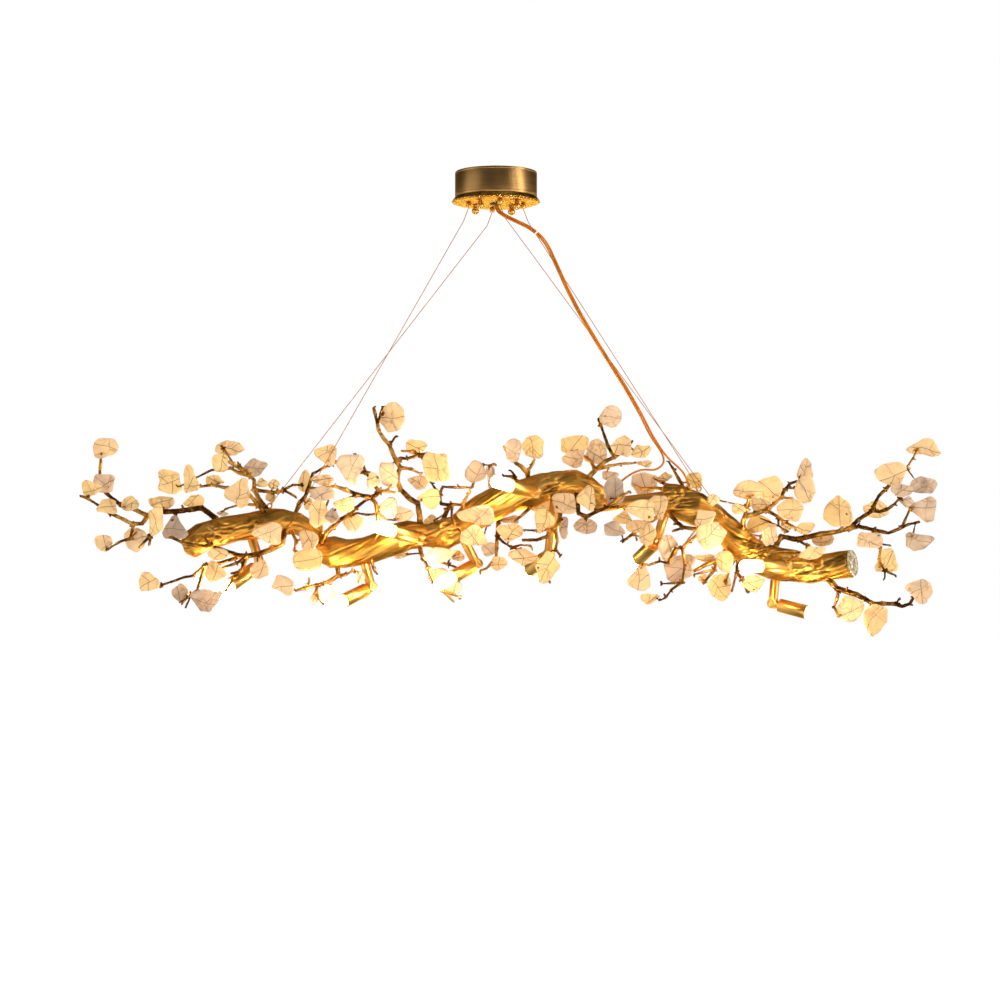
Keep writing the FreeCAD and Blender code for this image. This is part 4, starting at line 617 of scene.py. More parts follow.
def make_surround():
    """White behind the object, with a soft even light on it and darker tones for polished metal to mirror."""
    world = bpy.data.worlds.new("surround")
    bpy.context.scene.world = world
    world.use_nodes = True
    nodes, links = world.node_tree.nodes, world.node_tree.links
    nodes.clear()
    path = nodes.new("ShaderNodeLightPath")
    place = nodes.new("ShaderNodeTexCoord")
    split = nodes.new("ShaderNodeSeparateXYZ")
    links.new(place.outputs["Generated"], split.inputs["Vector"])
    heights = nodes.new("ShaderNodeMapRange")
    heights.inputs["From Min"].default_value = -1
    heights.inputs["From Max"].default_value = 1
    links.new(split.outputs["Z"], heights.inputs["Value"])
    tones = nodes.new("ShaderNodeValToRGB")
    while len(tones.color_ramp.elements) < len(MIRRORED_TONES):
        tones.color_ramp.elements.new(0.5)
    for element, (position, tone) in zip(tones.color_ramp.elements, MIRRORED_TONES):
        element.position = position
        element.color = (*(tone * share for share in MIRRORED_WARMTH), 1)
    links.new(heights.outputs["Result"], tones.inputs["Fac"])
    cloud = nodes.new("ShaderNodeTexNoise")
    cloud.inputs["Scale"].default_value = PATCH_FINENESS
    cloud.inputs["Detail"].default_value = 1
    links.new(place.outputs["Generated"], cloud.inputs["Vector"])
    patches = nodes.new("ShaderNodeMapRange")
    for socket, value in zip(RANGE_SOCKETS, PATCH_EDGES + PATCH_STRENGTHS):
        patches.inputs[socket].default_value = value
    links.new(cloud.outputs["Fac"], patches.inputs["Value"])
    mirrored = nodes.new("ShaderNodeBackground")
    links.new(tones.outputs["Color"], mirrored.inputs["Color"])
    links.new(patches.outputs["Result"], mirrored.inputs["Strength"])
    soft = nodes.new("ShaderNodeBackground")
    soft.inputs["Color"].default_value = SOFT_COLOUR
    soft.inputs["Strength"].default_value = SOFT_STRENGTH
    white = nodes.new("ShaderNodeBackground")
    white.inputs["Color"].default_value = (1, 1, 1, 1)
    first = nodes.new("ShaderNodeMixShader")
    links.new(path.outputs["Is Glossy Ray"], first.inputs["Fac"])
    links.new(soft.outputs["Background"], first.inputs[1])
    links.new(mirrored.outputs["Background"], first.inputs[2])
    second = nodes.new("ShaderNodeMixShader")
    links.new(path.outputs["Is Camera Ray"], second.inputs["Fac"])
    links.new(first.outputs["Shader"], second.inputs[1])
    links.new(white.outputs["Background"], second.inputs[2])
    out = nodes.new("ShaderNodeOutputWorld")
    links.new(second.outputs["Shader"], out.inputs["Surface"])


make_camera()
make_floor()
make_surround()
softbox("right_strip", (2.6, -0.7, 0.4), (0, 0, -0.2), 0.7, 3.4, 34, (1.0, 0.96, 0.9))
softbox("right_line", (2.3, -1.8, 0.4), (0, 0, -0.2), 0.12, 3.2, 8, (1.0, 0.97, 0.93))
softbox("left_strip", (-2.8, -0.9, 0.3), (0, 0, -0.3), 2.4, 3.2, 14, (1.0, 0.97, 0.93))
softbox("low_bank", (0.2, -2.2, -1.8), (0, 0, -0.55), 2.6, 0.4, 12, (1.0, 0.94, 0.86))
softbox("back_bank", (0, 1.7, -1.1), (0, 0, -0.2), 2.6, 1.0, 18, (1.0, 0.96, 0.9))
bpy.context.scene.view_settings.view_transform = "Standard"


# --- Supply cables and suspension wires -----------------------------------------------------------


def route_curve(name, points):
    """A smooth open curve with the route's points as its control points."""
    curve = bpy.data.curves.new(name, "CURVE")
    curve.dimensions = "3D"
    spline = curve.splines.new("NURBS")
    spline.points.add(len(points) - 1)
    for point, (x, y, z) in zip(spline.points, points):
        point.co = (x * MM, y * MM, z * MM, 1)
    spline.order_u = 3
    spline.use_endpoint_u = True
    spline.resolution_u = CABLE_RUN_STEPS
    return curve


def mesh_of(curve):
    """The mesh that a curve makes."""
    holder = bpy.data.objects.new("route", curve)
    bpy.context.scene.collection.objects.link(holder)
    view = bpy.context.evaluated_depsgraph_get()
    mesh = bpy.data.meshes.new_from_object(holder.evaluated_get(view), depsgraph=view)
    bpy.data.objects.remove(holder)
    return mesh


def squash_up(piece):
    """Give a wire or cable its own copy of its mesh."""
    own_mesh(piece)


def cable_section(name):
    """The outline of a cable, with a lobe for each of its strands."""
    profile = bpy.data.curves.new(name, "CURVE")
    profile.dimensions = "2D"
    outline = profile.splines.new("POLY")
    outline.points.add(CABLE_SIDES - 1)
    for i, point in enumerate(outline.points):
        angle = 2 * math.pi * i / CABLE_SIDES
        lobe = abs(math.cos(CABLE_STRANDS * angle / 2)) ** CABLE_LOBE
        reach = CABLE_REACH * (CABLE_GROOVE + (1 - CABLE_GROOVE) * lobe)
        point.co = (reach * math.cos(angle), reach * math.sin(angle), 0, 1)
    outline.use_cyclic_u = True
    section = bpy.data.objects.new(name, profile)
    bpy.context.scene.collection.objects.link(section)
    return section


def cable(name):
    """A supply cable along its route, with its strands laid round each other."""
    route = route_curve(name, CABLE_ROUTES[name])
    path = [vert.co.copy() for vert in mesh_of(route).vertices]
    section = cable_section(name + "_section")
    route.bevel_mode = "OBJECT"
    route.bevel_object = section
    route.use_fill_caps = True
    points = list(route.splines[0].points)
    run = 0.0
    for before, after in zip(points, points[1:]):
        run += (after.co - before.co).length
        after.tilt = 2 * math.pi * run / CABLE_TWIST
    mesh = mesh_of(route)
    bpy.data.objects.remove(section)
    shape = bmesh.new()
    shape.from_mesh(mesh)
    bmesh.ops.remove_doubles(shape, verts=shape.verts, dist=MERGE)
    bmesh.ops.recalc_face_normals(shape, faces=shape.faces)
    relief = shape.verts.layers.float.new("relief")
    for vert in shape.verts:
        reach = min((vert.co - point).length for point in path)
        vert[relief] = clamped((reach / CABLE_REACH - CABLE_GROOVE) / (1 - CABLE_GROOVE))
    piece = piece_of(shape, name + "_strands", "canopy", ["amber_cord"], [name], 60)
    squash_up(piece)


def wire_points(node):
    """The centres of the rings that a suspension wire's solid is made of, from the top down."""
    corners = sorted(islands(node)[0], key=lambda corner: -corner.z)
    count = len(corners) // WIRE_SIDES
    return [middle(corners[i * WIRE_SIDES:(i + 1) * WIRE_SIDES]) for i in range(count)]


def suspension_wire(number):
    """A wire of six outer strands laid round a core, with the bend below its grip."""
    node = "suspension_wire_%d" % number
    points = wire_points(node)
    shape = bmesh.new()
    for before, after in zip(points, points[1:]):
        way = after - before
        count = max(2, math.ceil(way.length / WIRE_STEP))
        turn = Matrix.Rotation(2 * math.pi * way.length / count / WIRE_TURN, 3, way)
        ring = bmesh.ops.create_circle(shape, segments=WIRE_CORNERS, radius=WIRE_RADIUS)["verts"]
        for vert in ring[1::2]:
            vert.co *= WIRE_GROOVE
        bmesh.ops.transform(shape, matrix=frame_at(before, way), verts=ring)
        for _ in range(count):
            edges = [edge for vert in ring for edge in vert.link_edges if edge.other_vert(vert) in ring]
            made = bmesh.ops.extrude_edge_only(shape, edges=list(dict.fromkeys(edges)))["geom"]
            ring = [item for item in made if isinstance(item, bmesh.types.BMVert)]
            centre = middle([vert.co for vert in ring])
            bmesh.ops.rotate(shape, cent=centre, verts=ring, matrix=turn)
            bmesh.ops.translate(shape, verts=ring, vec=way / count)
    bmesh.ops.holes_fill(shape, edges=shape.edges, sides=WIRE_CORNERS)
    bmesh.ops.recalc_face_normals(shape, faces=shape.faces)
    piece = piece_of(shape, node + "_strands", "canopy", ["wire_steel"], [node])
    squash_up(piece)


def cable_tie(route_1, route_2):
    """The clear band round both cables."""
    middles = []
    for route in (route_1, route_2):
        start, end = (Vector(point) * MM for point in route[TIE_RUN:TIE_RUN + 2])
        middles.append(start + (end - start) * TIE_PLACE)
    band = turned(TIE_SECTION, 32, frame_at(middle(middles), end - start))
    piece = piece_of(band, "cable_tie", "canopy", ["clear_tie"], (), 40)
    squash_up(piece)


for cable_name in CABLE_ROUTES:
    cable(cable_name)
for wire_number in range(1, 5):
    suspension_wire(wire_number)
cable_tie(CABLE_ROUTES["supply_cable_1"], CABLE_ROUTES["supply_cable_2"])


# --- Canopy ---------------------------------------------------------------------------------------

# The cup in millimetres. Each of its fine grooves has a place below the ceiling and a depth in the wall.
CUP_RADIUS = 65.5
CUP_BORE = 64.0
CUP_HEIGHT = 40.0
CUP_GROOVES = ((3.7, 0.2), (36.3, 0.3))
GROOVE_HALF_WIDTH = 0.3

# The beaten plate
PLATE_VOXEL = 0.55 * MM
PLATE_FLAT_RADIUS = 11 * MM
DENT_SIZE = 4.6 * MM
DENT_DEPTH = 1.25 * MM
DENT_STEEPNESS = 1.4
DENT_GRAIN_SIZE = 1.6 * MM
DENT_GRAIN_DEPTH = 0.3 * MM

# The node, finish and material slot of each fitting, and the rounding of its edges in millimetres
CANOPY_FITTINGS = (
    ("mounting_plate", "zinc_steel", "zinc_steel", 0.3),
    ("plate_studs", "zinc_steel", "zinc_steel", 0.3),
    ("ball_nuts", "polished_gold", "gold", 0.3),
    ("wire_grips", "polished_gold", "gold", 0.4),
    ("led_driver", "ceramic_white", "driver_case", 1.2),
    ("terminal_block", "ceramic_white", "white_plastic", 0.8),
    ("cable_bush", "black_rubber", "black_rubber", 0.4),
)


def canopy_shell():
    """The cup on the ceiling, with its rounded top edge, its grooves and the rolled lip at its mouth."""
    profile = [(CUP_BORE, -1.2), (CUP_BORE, -0.1), (CUP_BORE + 0.6, 0), (CUP_RADIUS - 0.5, -0.3),
               (CUP_RADIUS - 0.1, -1.0), (CUP_RADIUS, -2.2)]
    for drop, depth in CUP_GROOVES:
        profile += [(CUP_RADIUS, GROOVE_HALF_WIDTH - drop), (CUP_RADIUS - depth, -drop),
                    (CUP_RADIUS, -GROOVE_HALF_WIDTH - drop)]
    mouth = -CUP_HEIGHT
    profile += [(CUP_RADIUS, mouth + 0.8), (CUP_RADIUS - 0.3, mouth + 0.2), (CUP_RADIUS - 0.9, mouth),
                (CUP_BORE + 0.1, mouth + 0.2), (CUP_BORE, mouth + 0.8), (CUP_BORE, -1.2)]
    piece_of(turned(profile, 128), "canopy_cup", "canopy", ["brushed_bronze"],
             ["canopy_shell"], 40)


def hammered_plate():
    """The dish under the cup. Its underside and its flared rim are beaten all over."""
    shape = remeshed(merged_copy("hammered_plate"), PLATE_VOXEL)
    relief = shape.verts.layers.float.new("relief")
    for vert in shape.verts:
        near, far = noise.voronoi(vert.co / DENT_SIZE)[0][:2]
        dent = min(1.0, (far - near) * DENT_STEEPNESS)
        fine = noise.noise(vert.co / DENT_GRAIN_SIZE)
        vert[relief] = 0.1 + 0.6 * dent + 0.3 * fine
        reach = math.hypot(vert.co.x, vert.co.y)
        if vert.normal.z < 0.3 and reach > PLATE_FLAT_RADIUS:
            vert.co += vert.normal * (DENT_DEPTH * (dent - 1) + DENT_GRAIN_DEPTH * fine)
    smooth(shape, 1, 0.3)
    keep_in_box(shape, "hammered_plate")
    piece_of(shape, "beaten_plate", "canopy", ["hammered_gold"], ["hammered_plate"])


canopy_shell()
hammered_plate()
for node, finish, slot, rounding in CANOPY_FITTINGS:
    refined(node, "canopy", finish, rounding * MM)


# --- Trunk ----------------------------------------------------------------------------------------

TRUNK_NODES = ("trunk_left", "trunk_middle_left", "trunk_middle_right", "trunk_right")
TRUNK_VOXEL = 1.5 * MM
SLICE = 12 * MM

# The bark: its height, how far its grain winds round the branch in radians to the metre, and how strongly
# its folds, grain, lumps and burls show
BARK_HEIGHT = 2.2 * MM
GRAIN_TWIST = 14
FOLD_SHARE = 0.8
GRAIN_SHARE = 0.55
LUMP_SHARE = 0.4
BURL_SHARE = 2.4

# The knotted burls, each with its place across and up and its reach, in millimetres
BURLS = ((-445, -580, 36), (-385, -560, 18), (-80, -570, 34), (85, -503, 30), (282, -522, 26),
         (415, -608, 36), (498, -630, 46))

# The sawn end
SAWN_THICKNESS = 2.4 * MM
SAWN_SEAT = 1.3 * MM
CHIP_ROWS = 40
CHIP_SIZE = 4 * MM
CHIP_GRAIN_SIZE = 5 * MM
CHIP_HEIGHT = 0.6 * MM

# The node, finish and material slot of each fitting, and the rounding of its edges in millimetres
BRANCH_FITTINGS = (
    ("trunk_spigots", "polished_gold", "cast_gold", 0.4),
    ("wire_anchors", "polished_gold", "gold", 0.3),
    ("wire_ferrules", "polished_gold", "gold", 0.3),
    ("cable_glands", "polished_gold", "gold", 0.5),
    ("lamp_rods", "polished_gold", "gold", 0.6),
    ("pivot_screws", "polished_gold", "gold", 0.3),
)


def slices_of(shape):
    """The centre of every slice of a casting along the branch."""
    slices = {}
    for vert in shape.verts:
        slices.setdefault(round(vert.co.x / SLICE), []).append(vert.co)
    centres = {}
    for key, points in slices.items():
        lows = [min(point[axis] for point in points) for axis in (1, 2)]
        highs = [max(point[axis] for point in points) for axis in (1, 2)]
        centres[key] = ((lows[0] + highs[0]) / 2, (lows[1] + highs[1]) / 2)
    return centres


def centre_at(centres, x):
    """The centre of the casting at a place along the branch, between its slices."""
    key = x / SLICE
    low, high = math.floor(key), math.ceil(key)
    before = centres.get(low) or centres.get(high)
    after = centres.get(high) or before
    share = key - low
    return [a + (b - a) * share for a, b in zip(before, after)]


def bark(point, centre):
    """The height of the bark over the casting at a point of its skin, mostly from -1 to 1."""
    angle = math.atan2(point.z - centre[1], point.y - centre[0])
    angle += point.x * GRAIN_TWIST + 0.5 * noise.noise(Vector((point.x * 12, 3, 7)))
    round_way = Vector((math.cos(angle), math.sin(angle), 0))
    folds = noise.noise(round_way * 1.3 + Vector((0, 0, point.x * 8)))
    grain = ridges(round_way * 3.4 + Vector((0, 0, point.x * 11)), 0.9, 2.1, 4) - 1.1
    lumps = noise.noise(point * 45)
    burl = 0.0
    for x, z, reach in BURLS:
        away = math.hypot(point.x - x * MM, point.z - z * MM) / (reach * MM)
        burl = max(burl, 1 - away)
    crease = Vector((point.x * 42 + point.z * 25, point.y * 85, point.z * 125 - point.x * 30))
    knot = ridges(crease, 0.8, 2.2, 3) - 1.1
    return FOLD_SHARE * folds + GRAIN_SHARE * grain + LUMP_SHARE * lumps + BURL_SHARE * burl * knot


def trunk_piece(node):
    """One length of the trunk with its bark."""
    shape = remeshed(merged_copy(node), TRUNK_VOXEL)
    smooth(shape, 2)
    centres = slices_of(shape)
    raise_skin(shape, lambda point: bark(point, centre_at(centres, point.x)), BARK_HEIGHT, 0.5, 0.5)
    shape.normal_update()
    piece_of(shape, node + "_bark", "branch", ["cast_gold"], [node])


def sawn_end():
    """The sawn face of the trunk: a disc of rough chips."""
    corners = islands("trunk_end_cap")[0]
    centre = middle(corners)
    shape = merged_copy("trunk_end_cap")
    bmesh.ops.dissolve_limit(shape, angle_limit=0.05, verts=shape.verts, edges=shape.edges)
    outward = [face for face in shape.faces if face.normal.x > 0]
    way = max(outward, key=lambda face: face.calc_area()).normal.copy()
    reach = max((corner - centre).length for corner in corners)
    shape.free()
    shape = bmesh.new()
    relief = shape.verts.layers.float.new("relief")
    bmesh.ops.create_grid(shape, x_segments=CHIP_ROWS, y_segments=CHIP_ROWS, size=reach)
    outside = [face for face in shape.faces if face.calc_center_median().length > reach * 0.97]
    bmesh.ops.delete(shape, geom=outside, context="FACES")
    extruded = bmesh.ops.extrude_face_region(shape, geom=shape.faces[:])["geom"]
    lifted = [item for item in extruded if isinstance(item, bmesh.types.BMVert)]
    bmesh.ops.translate(shape, verts=lifted, vec=(0, 0, SAWN_THICKNESS))
    for vert in lifted:
        chip = noise.cell(vert.co / CHIP_SIZE) + 0.5 * noise.noise(vert.co / CHIP_GRAIN_SIZE)
        vert[relief] = clamped(0.5 + 0.4 * chip)
        vert.co.z += CHIP_HEIGHT * chip
    bmesh.ops.recalc_face_normals(shape, faces=shape.faces)
    shape.transform(frame_at(centre - way * SAWN_SEAT, way))
    piece_of(shape, "sawn_face", "branch", ["sawn_silver"], ["trunk_end_cap"], 25)


for trunk_node in TRUNK_NODES:
    trunk_piece(trunk_node)
sawn_end()
for node, finish, slot, rounding in BRANCH_FITTINGS:
    refined(node, "branch", finish, rounding * MM)


# --- Twigs ----------------------------------------------------------------------------------------

TWIG_VOXEL = 0.75 * MM
TWIG_BARK_HEIGHT = 0.75 * MM
KNOT_FINENESS = 105
RING_FINENESS = 330

# Buds: one to every so many corners of a twig, their lean and sink, and the least and most of their length
# and of their radius at foot and tip, in millimetres
BUD_SPACING = 6
BUD_LEAN = 0.7
BUD_SINK = 0.3
BUD_LENGTH = (2.6, 6.5)
BUD_FOOT = (1.3, 2.0)
BUD_TIP = (0.7, 1.2)


def any_way(chance, reach):
    """A vector with each value drawn between -reach and reach."""
    return Vector([chance.uniform(-reach, reach) for _ in range(3)])


def add_buds(shape, chance):
    """Small buds and stubs that stand off the twigs."""
    feet = [vert for i, vert in enumerate(shape.verts) if i % BUD_SPACING == 0]
    places = [(vert.co.copy(), vert.normal.copy()) for vert in feet]
    for foot, normal in places:
        way = (normal + any_way(chance, 1) * BUD_LEAN).normalized()
        length = chance.uniform(*BUD_LENGTH) * MM
        bmesh.ops.create_cone(shape, cap_ends=True, segments=6, radius1=chance.uniform(*BUD_FOOT) * MM,
                              radius2=chance.uniform(*BUD_TIP) * MM, depth=length,
                              matrix=frame_at(foot + way * length * BUD_SINK, way))


def twig_bark(point):
    """The height of a twig's knotted and ringed bark at a point."""
    knots = noise.noise(point * KNOT_FINENESS)
    rings = ridges(point * RING_FINENESS, 0.9, 2.0, 3) - 1.0
    return 1.1 * knots + 0.6 * rings + 0.8


def twig_piece(group, number):
    """The twigs of a group with their buds and bark."""
    node = "twigs_" + group
    chance = random.Random(100 + number)
    shape = merged_copy(node)
    shape.normal_update()
    add_buds(shape, chance)
    shape = remeshed(shape, TWIG_VOXEL)
    smooth(shape, 2)
    raise_skin(shape, twig_bark, TWIG_BARK_HEIGHT, 0.3, 0.36)
    keep_in_box(shape, node)
    shape.normal_update()
    piece_of(shape, node + "_bark", "branch", ["twig_bronze"], [node])


for group_number, group_name in enumerate(GROUPS):
    twig_piece(group_name, group_number)


# --- Leaves ---------------------------------------------------------------------------------------

LEAF_GRID = 5 * MM
CUT_PRECISION = 0.0001 * MM

# The rounding of a leaf's corners (least and most) and of its rims, in millimetres
CORNER_ROUNDING = (2.2, 5.0)
RIM_ROUNDING = 0.7

# Veins: their width and depth, how many branch off the main one, and how far they turn, in radians, and
# shift, in millimetres
VEIN_WIDTH = 0.9 * MM
VEIN_DEPTH = 0.4 * MM
VEIN_TURN = 0.7
VEIN_SHIFT = 4
BRANCH_VEINS = (0, 1, 1, 2)
BRANCH_VEIN_TURN = (0.7, 1.3)
BRANCH_VEIN_SHIFT = 7

# How far and how finely a leaf's outline bends and its faces ripple
BEND_REACH = 3.4 * MM
BEND_FINENESS = 55
RIPPLE_DEPTH = 0.35 * MM
RIPPLE_FINENESS = 130


def slab_of(corners):
    """The leaf as a clean slab, with whole flat faces."""
    slab = bmesh.new()
    for corner in corners:
        slab.verts.new(corner)
    hull = bmesh.ops.convex_hull(slab, input=slab.verts)
    left_over = hull["geom_interior"] + hull["geom_unused"]
    loose = [item for item in left_over if isinstance(item, bmesh.types.BMVert)]
    bmesh.ops.delete(slab, geom=list(dict.fromkeys(loose)), context="VERTS")
    bmesh.ops.dissolve_limit(slab, angle_limit=math.radians(5), verts=slab.verts, edges=slab.edges)
    return slab


def leaf_ways(slab):
    """The middle of a leaf, the way that its broad face looks, and its longest way along that face."""
    normal = max(slab.faces, key=lambda face: face.calc_area()).normal.copy()
    centre = middle([vert.co for vert in slab.verts])
    longest = max((vert.co - centre for vert in slab.verts), key=lambda way: way.length)
    return centre, normal, (longest - normal * longest.dot(normal)).normalized()


def round_off(slab, normal, chance):
    """Round the corners of a leaf's outline and then its rims."""
    corners = [edge for edge in slab.edges
               if abs((edge.verts[0].co - edge.verts[1].co).normalized().dot(normal)) > 0.2]
    bmesh.ops.bevel(slab, geom=corners, offset=chance.uniform(*CORNER_ROUNDING) * MM, segments=3,
                    profile=0.5, affect="EDGES", clamp_overlap=True, material=-1)
    rims = [edge for edge in slab.edges if edge.is_manifold and edge.calc_face_angle(0) > 0.35]
    bmesh.ops.bevel(slab, geom=rims, offset=RIM_ROUNDING * MM, segments=2, profile=0.5, affect="EDGES",
                    clamp_overlap=True, material=-1)


def cut(slab, place, way, side=None):
    """Cut the slab by a plane, or only the part of it that side picks. Gives the cut's corners."""
    faces = [face for face in slab.faces if side is None or side(face.calc_center_median())]
    edges = [edge for face in faces for edge in face.edges]
    verts = [vert for face in faces for vert in face.verts]
    done = bmesh.ops.bisect_plane(slab, geom=list(dict.fromkeys(faces + edges + verts)), dist=CUT_PRECISION,
                                  plane_co=place, plane_no=way)
    return [item for item in done["geom_cut"] if isinstance(item, bmesh.types.BMVert)]


def carve_vein(slab, place, way, normal, side=None):
    """A narrow dark groove round the slab, in the plane through a place."""
    for offset in (-0.5, 0.5):
        cut(slab, place + way * VEIN_WIDTH * offset, way, side)
    for vert in cut(slab, place, way, side):
        above = (vert.co - place).dot(normal)
        if abs(above) > VEIN_DEPTH:
            vert.co -= normal * math.copysign(VEIN_DEPTH, above)
    for face in slab.faces:
        centre = face.calc_center_median()
        if abs((centre - place).dot(way)) < VEIN_WIDTH * 0.5 and (side is None or side(centre)):
            face.material_index = 1


def add_veins(slab, centre, normal, length_way, chance):
    """A main vein near the middle and the veins that branch off it. Gives the ways along and across it."""
    along = Matrix.Rotation(chance.uniform(-VEIN_TURN, VEIN_TURN), 3, normal) @ length_way
    across = normal.cross(along)
    place = centre + across * chance.uniform(-VEIN_SHIFT, VEIN_SHIFT) * MM
    carve_vein(slab, place, across, normal)
    for branch in range(chance.choice(BRANCH_VEINS)):
        sign = 1 if branch else -1
        turn = Matrix.Rotation(sign * chance.uniform(*BRANCH_VEIN_TURN), 3, normal)
        branch_place = place + along * chance.uniform(-BRANCH_VEIN_SHIFT, BRANCH_VEIN_SHIFT) * MM

        def side(point, sign=sign):
            return (point - place).dot(across) * sign > VEIN_WIDTH * 0.4

        carve_vein(slab, branch_place, normal.cross(turn @ along), normal, side)
    return along, across


def add_grid(slab, centre, ways):
    """Cut the faces of a leaf into a grid that is fine enough to bend."""
    for way in ways:
        reaches = [(vert.co - centre).dot(way) for vert in slab.verts]
        low, high = min(reaches), max(reaches)
        count = max(2, round((high - low) / LEAF_GRID))
        for i in range(1, count):
            cut(slab, centre + way * (low + (high - low) * i / count), way)


def bend_and_tint(slab, centre, normal, along, across, chance):
    """Bend a leaf's outline, ripple its faces and give it its own tone."""
    drift = any_way(chance, 9)
    tone = slab.verts.layers.float.new("tone")
    shade = chance.uniform(0, 1) ** 0.7
    for vert in slab.verts:
        slow = vert.co * BEND_FINENESS + drift
        bend = along * noise.noise(slow) + across * noise.noise(slow + Vector((5, 5, 5)))
        ripple = 0.5 + noise.noise(vert.co * RIPPLE_FINENESS + drift)
        inward = normal * math.copysign(RIPPLE_DEPTH, (vert.co - centre).dot(normal))
        vert.co += bend * BEND_REACH - inward * ripple
        vert[tone] = clamped(shade + 0.25 * noise.noise(vert.co * 60))


def crystal_leaf(corners, chance):
    """One leaf of cut crystal, with its veins carved in."""
    slab = slab_of(corners)
    centre, normal, length_way = leaf_ways(slab)
    round_off(slab, normal, chance)
    along, across = add_veins(slab, centre, normal, length_way, chance)
    add_grid(slab, centre, (along, across))
    bend_and_tint(slab, centre, normal, along, across, chance)
    return slab


def leaves_piece(group, number):
    """All the leaves of a group."""
    node = "leaves_" + group
    chance = random.Random(900 + number)
    shape = joined([crystal_leaf(corners, chance) for corners in islands(node)])
    keep_in_box(shape, node)
    shape.normal_update()
    piece_of(shape, node + "_crystal", "branch", ["leaf_crystal", "vein_brown"], [node], 30)


for group_number, group_name in enumerate(GROUPS):
    leaves_piece(group_name, group_number)


# --- Lamps ----------------------------------------------------------------------------------------

# The sizes of a lamp in millimetres. Places along it are measured from its tilt axis.
HEAD_OFFSET = 11.0
HEAD_LENGTH = 48.0
HEAD_MOUTH = HEAD_OFFSET + HEAD_LENGTH
HEAD_RADIUS = 11.0
HEAD_WALL = 1.6
HEAD_BACK = 4.0
GLASS_RADIUS = 9.1
GLASS_SEAT = 16.0
GLASS_REACH = 40.0
DOME_STEPS = 9
BASE_RADIUS = 7.0
TONGUE_LENGTH = HEAD_OFFSET + 1
TONGUE_THICKNESS = 4.6
TONGUE_RADIUS = 7.0
TONGUE_WIDTH = 10.0
TONGUE_ROUNDING = 0.3

# The dim collar of the glass at the mouth: its two rings past the mouth, with the full glow from the second
COLLAR_START = 2.5
COLLAR_END = 6.0
GLOW_START = 4.0


def lamp_way(number):
    """The pivot, the way of the head and the tilt axis of a lamp."""
    joint = next(joint for joint in frame["joints"] if joint["name"] == "lamp_%d_tilt" % number)
    pivot, axis = Vector(joint["pos_m"]), Vector(joint["axis"]).normalized()
    glass = [corner for island in islands("lamp_%d_bulb" % number) for corner in island]
    way = middle(glass) - pivot
    way = (way - axis * way.dot(axis)).normalized()
    return pivot, way, axis


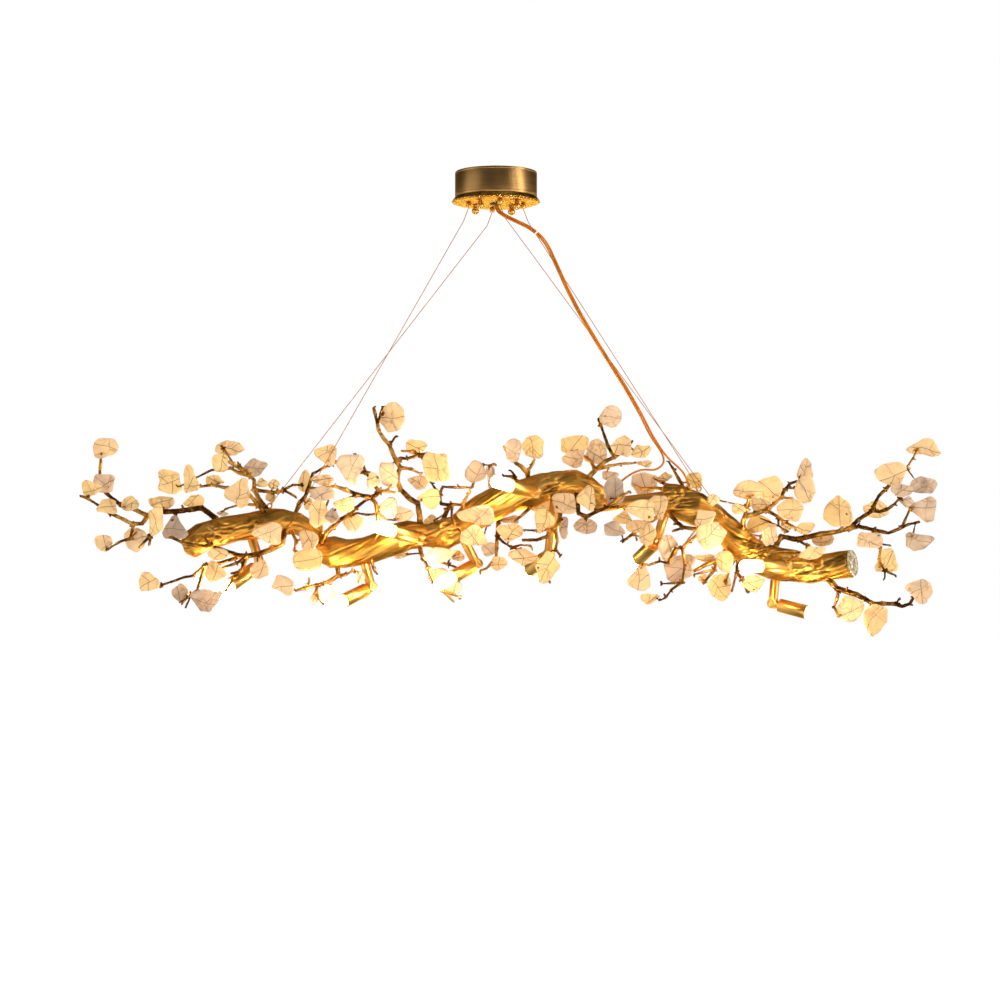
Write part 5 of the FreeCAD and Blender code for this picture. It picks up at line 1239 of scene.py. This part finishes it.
def lamp_head(number, pivot, way, axis):
    """The turned barrel with its rim, and the tongue that tilts in the rod's fork."""
    place = frame_at(pivot, way, axis)
    outer, bore, rear, mouth = HEAD_RADIUS, HEAD_RADIUS - HEAD_WALL, HEAD_OFFSET, HEAD_MOUTH
    profile = [(0, rear), (bore, rear), (outer - 0.5, rear + 0.35), (outer, rear + 1.3),
               (outer, mouth - 20), (outer, mouth - 0.8), (outer - 0.4, mouth), (outer - 1.2, mouth),
               (bore, mouth - 0.6), (bore, rear + HEAD_BACK), (0, rear + HEAD_BACK)]
    barrel = turned(profile, 56, place)
    tongue = bmesh.new()
    stem = Matrix.Diagonal((TONGUE_THICKNESS * MM, TONGUE_WIDTH * MM, TONGUE_LENGTH * MM, 1))
    halfway = Matrix.Translation((0, 0, TONGUE_LENGTH / 2 * MM))
    bmesh.ops.create_cube(tongue, size=1, matrix=halfway @ stem)
    bmesh.ops.create_cone(tongue, cap_ends=True, segments=40, radius1=TONGUE_RADIUS * MM,
                          radius2=TONGUE_RADIUS * MM, depth=TONGUE_THICKNESS * MM,
                          matrix=Matrix.Rotation(math.pi / 2, 4, "Y"))
    sharp = [edge for edge in tongue.edges if edge.calc_face_angle(0) > 0.8]
    bmesh.ops.bevel(tongue, geom=sharp, offset=TONGUE_ROUNDING * MM, segments=2, profile=0.5,
                    affect="EDGES", material=-1)
    tongue.transform(place)
    piece_of(joined([barrel, tongue]), "lamp_%d_barrel" % number, "lamp_%d" % number,
             ["polished_gold"], ["lamp_%d_head" % number], 35)


def lamp_glass(number, pivot, way, axis):
    """The glowing capsule and the ceramic base that holds it."""
    place = frame_at(pivot, way, axis)
    seat = HEAD_MOUTH - GLASS_SEAT
    dome = HEAD_MOUTH + GLASS_REACH - GLASS_RADIUS
    profile = [(0, seat), (GLASS_RADIUS - 0.4, seat), (GLASS_RADIUS, seat + 0.4),
               (GLASS_RADIUS, HEAD_MOUTH + COLLAR_START), (GLASS_RADIUS, HEAD_MOUTH + COLLAR_END)]
    for step in range(DOME_STEPS + 1):
        turn = math.pi / 2 * step / DOME_STEPS
        profile.append((GLASS_RADIUS * math.cos(turn), dome + GLASS_RADIUS * math.sin(turn)))
    glass = turned(profile, 40, place)
    glow = glass.verts.layers.float.new("glow")
    for vert in glass.verts:
        vert[glow] = 1 if (vert.co - pivot).dot(way) > (HEAD_MOUTH + GLOW_START) * MM else 0
    low = HEAD_OFFSET + HEAD_BACK
    base = turned([(0, low), (BASE_RADIUS - 0.4, low), (BASE_RADIUS, low + 0.4), (BASE_RADIUS, low + 5),
                   (BASE_RADIUS - 0.6, low + 5.6), (BASE_RADIUS, low + 6.2), (BASE_RADIUS, seat - 0.1),
                   (0, seat - 0.1)], 32, place)
    for face in base.faces:
        face.material_index = 1
    piece_of(joined([glass, base]), "lamp_%d_capsule" % number, "lamp_%d" % number,
             ["lit_glass", "ceramic_white"], ["lamp_%d_bulb" % number], 35)


for lamp_number in range(1, LAMP_COUNT + 1):
    lamp_place = lamp_way(lamp_number)
    lamp_head(lamp_number, *lamp_place)
    lamp_glass(lamp_number, *lamp_place)
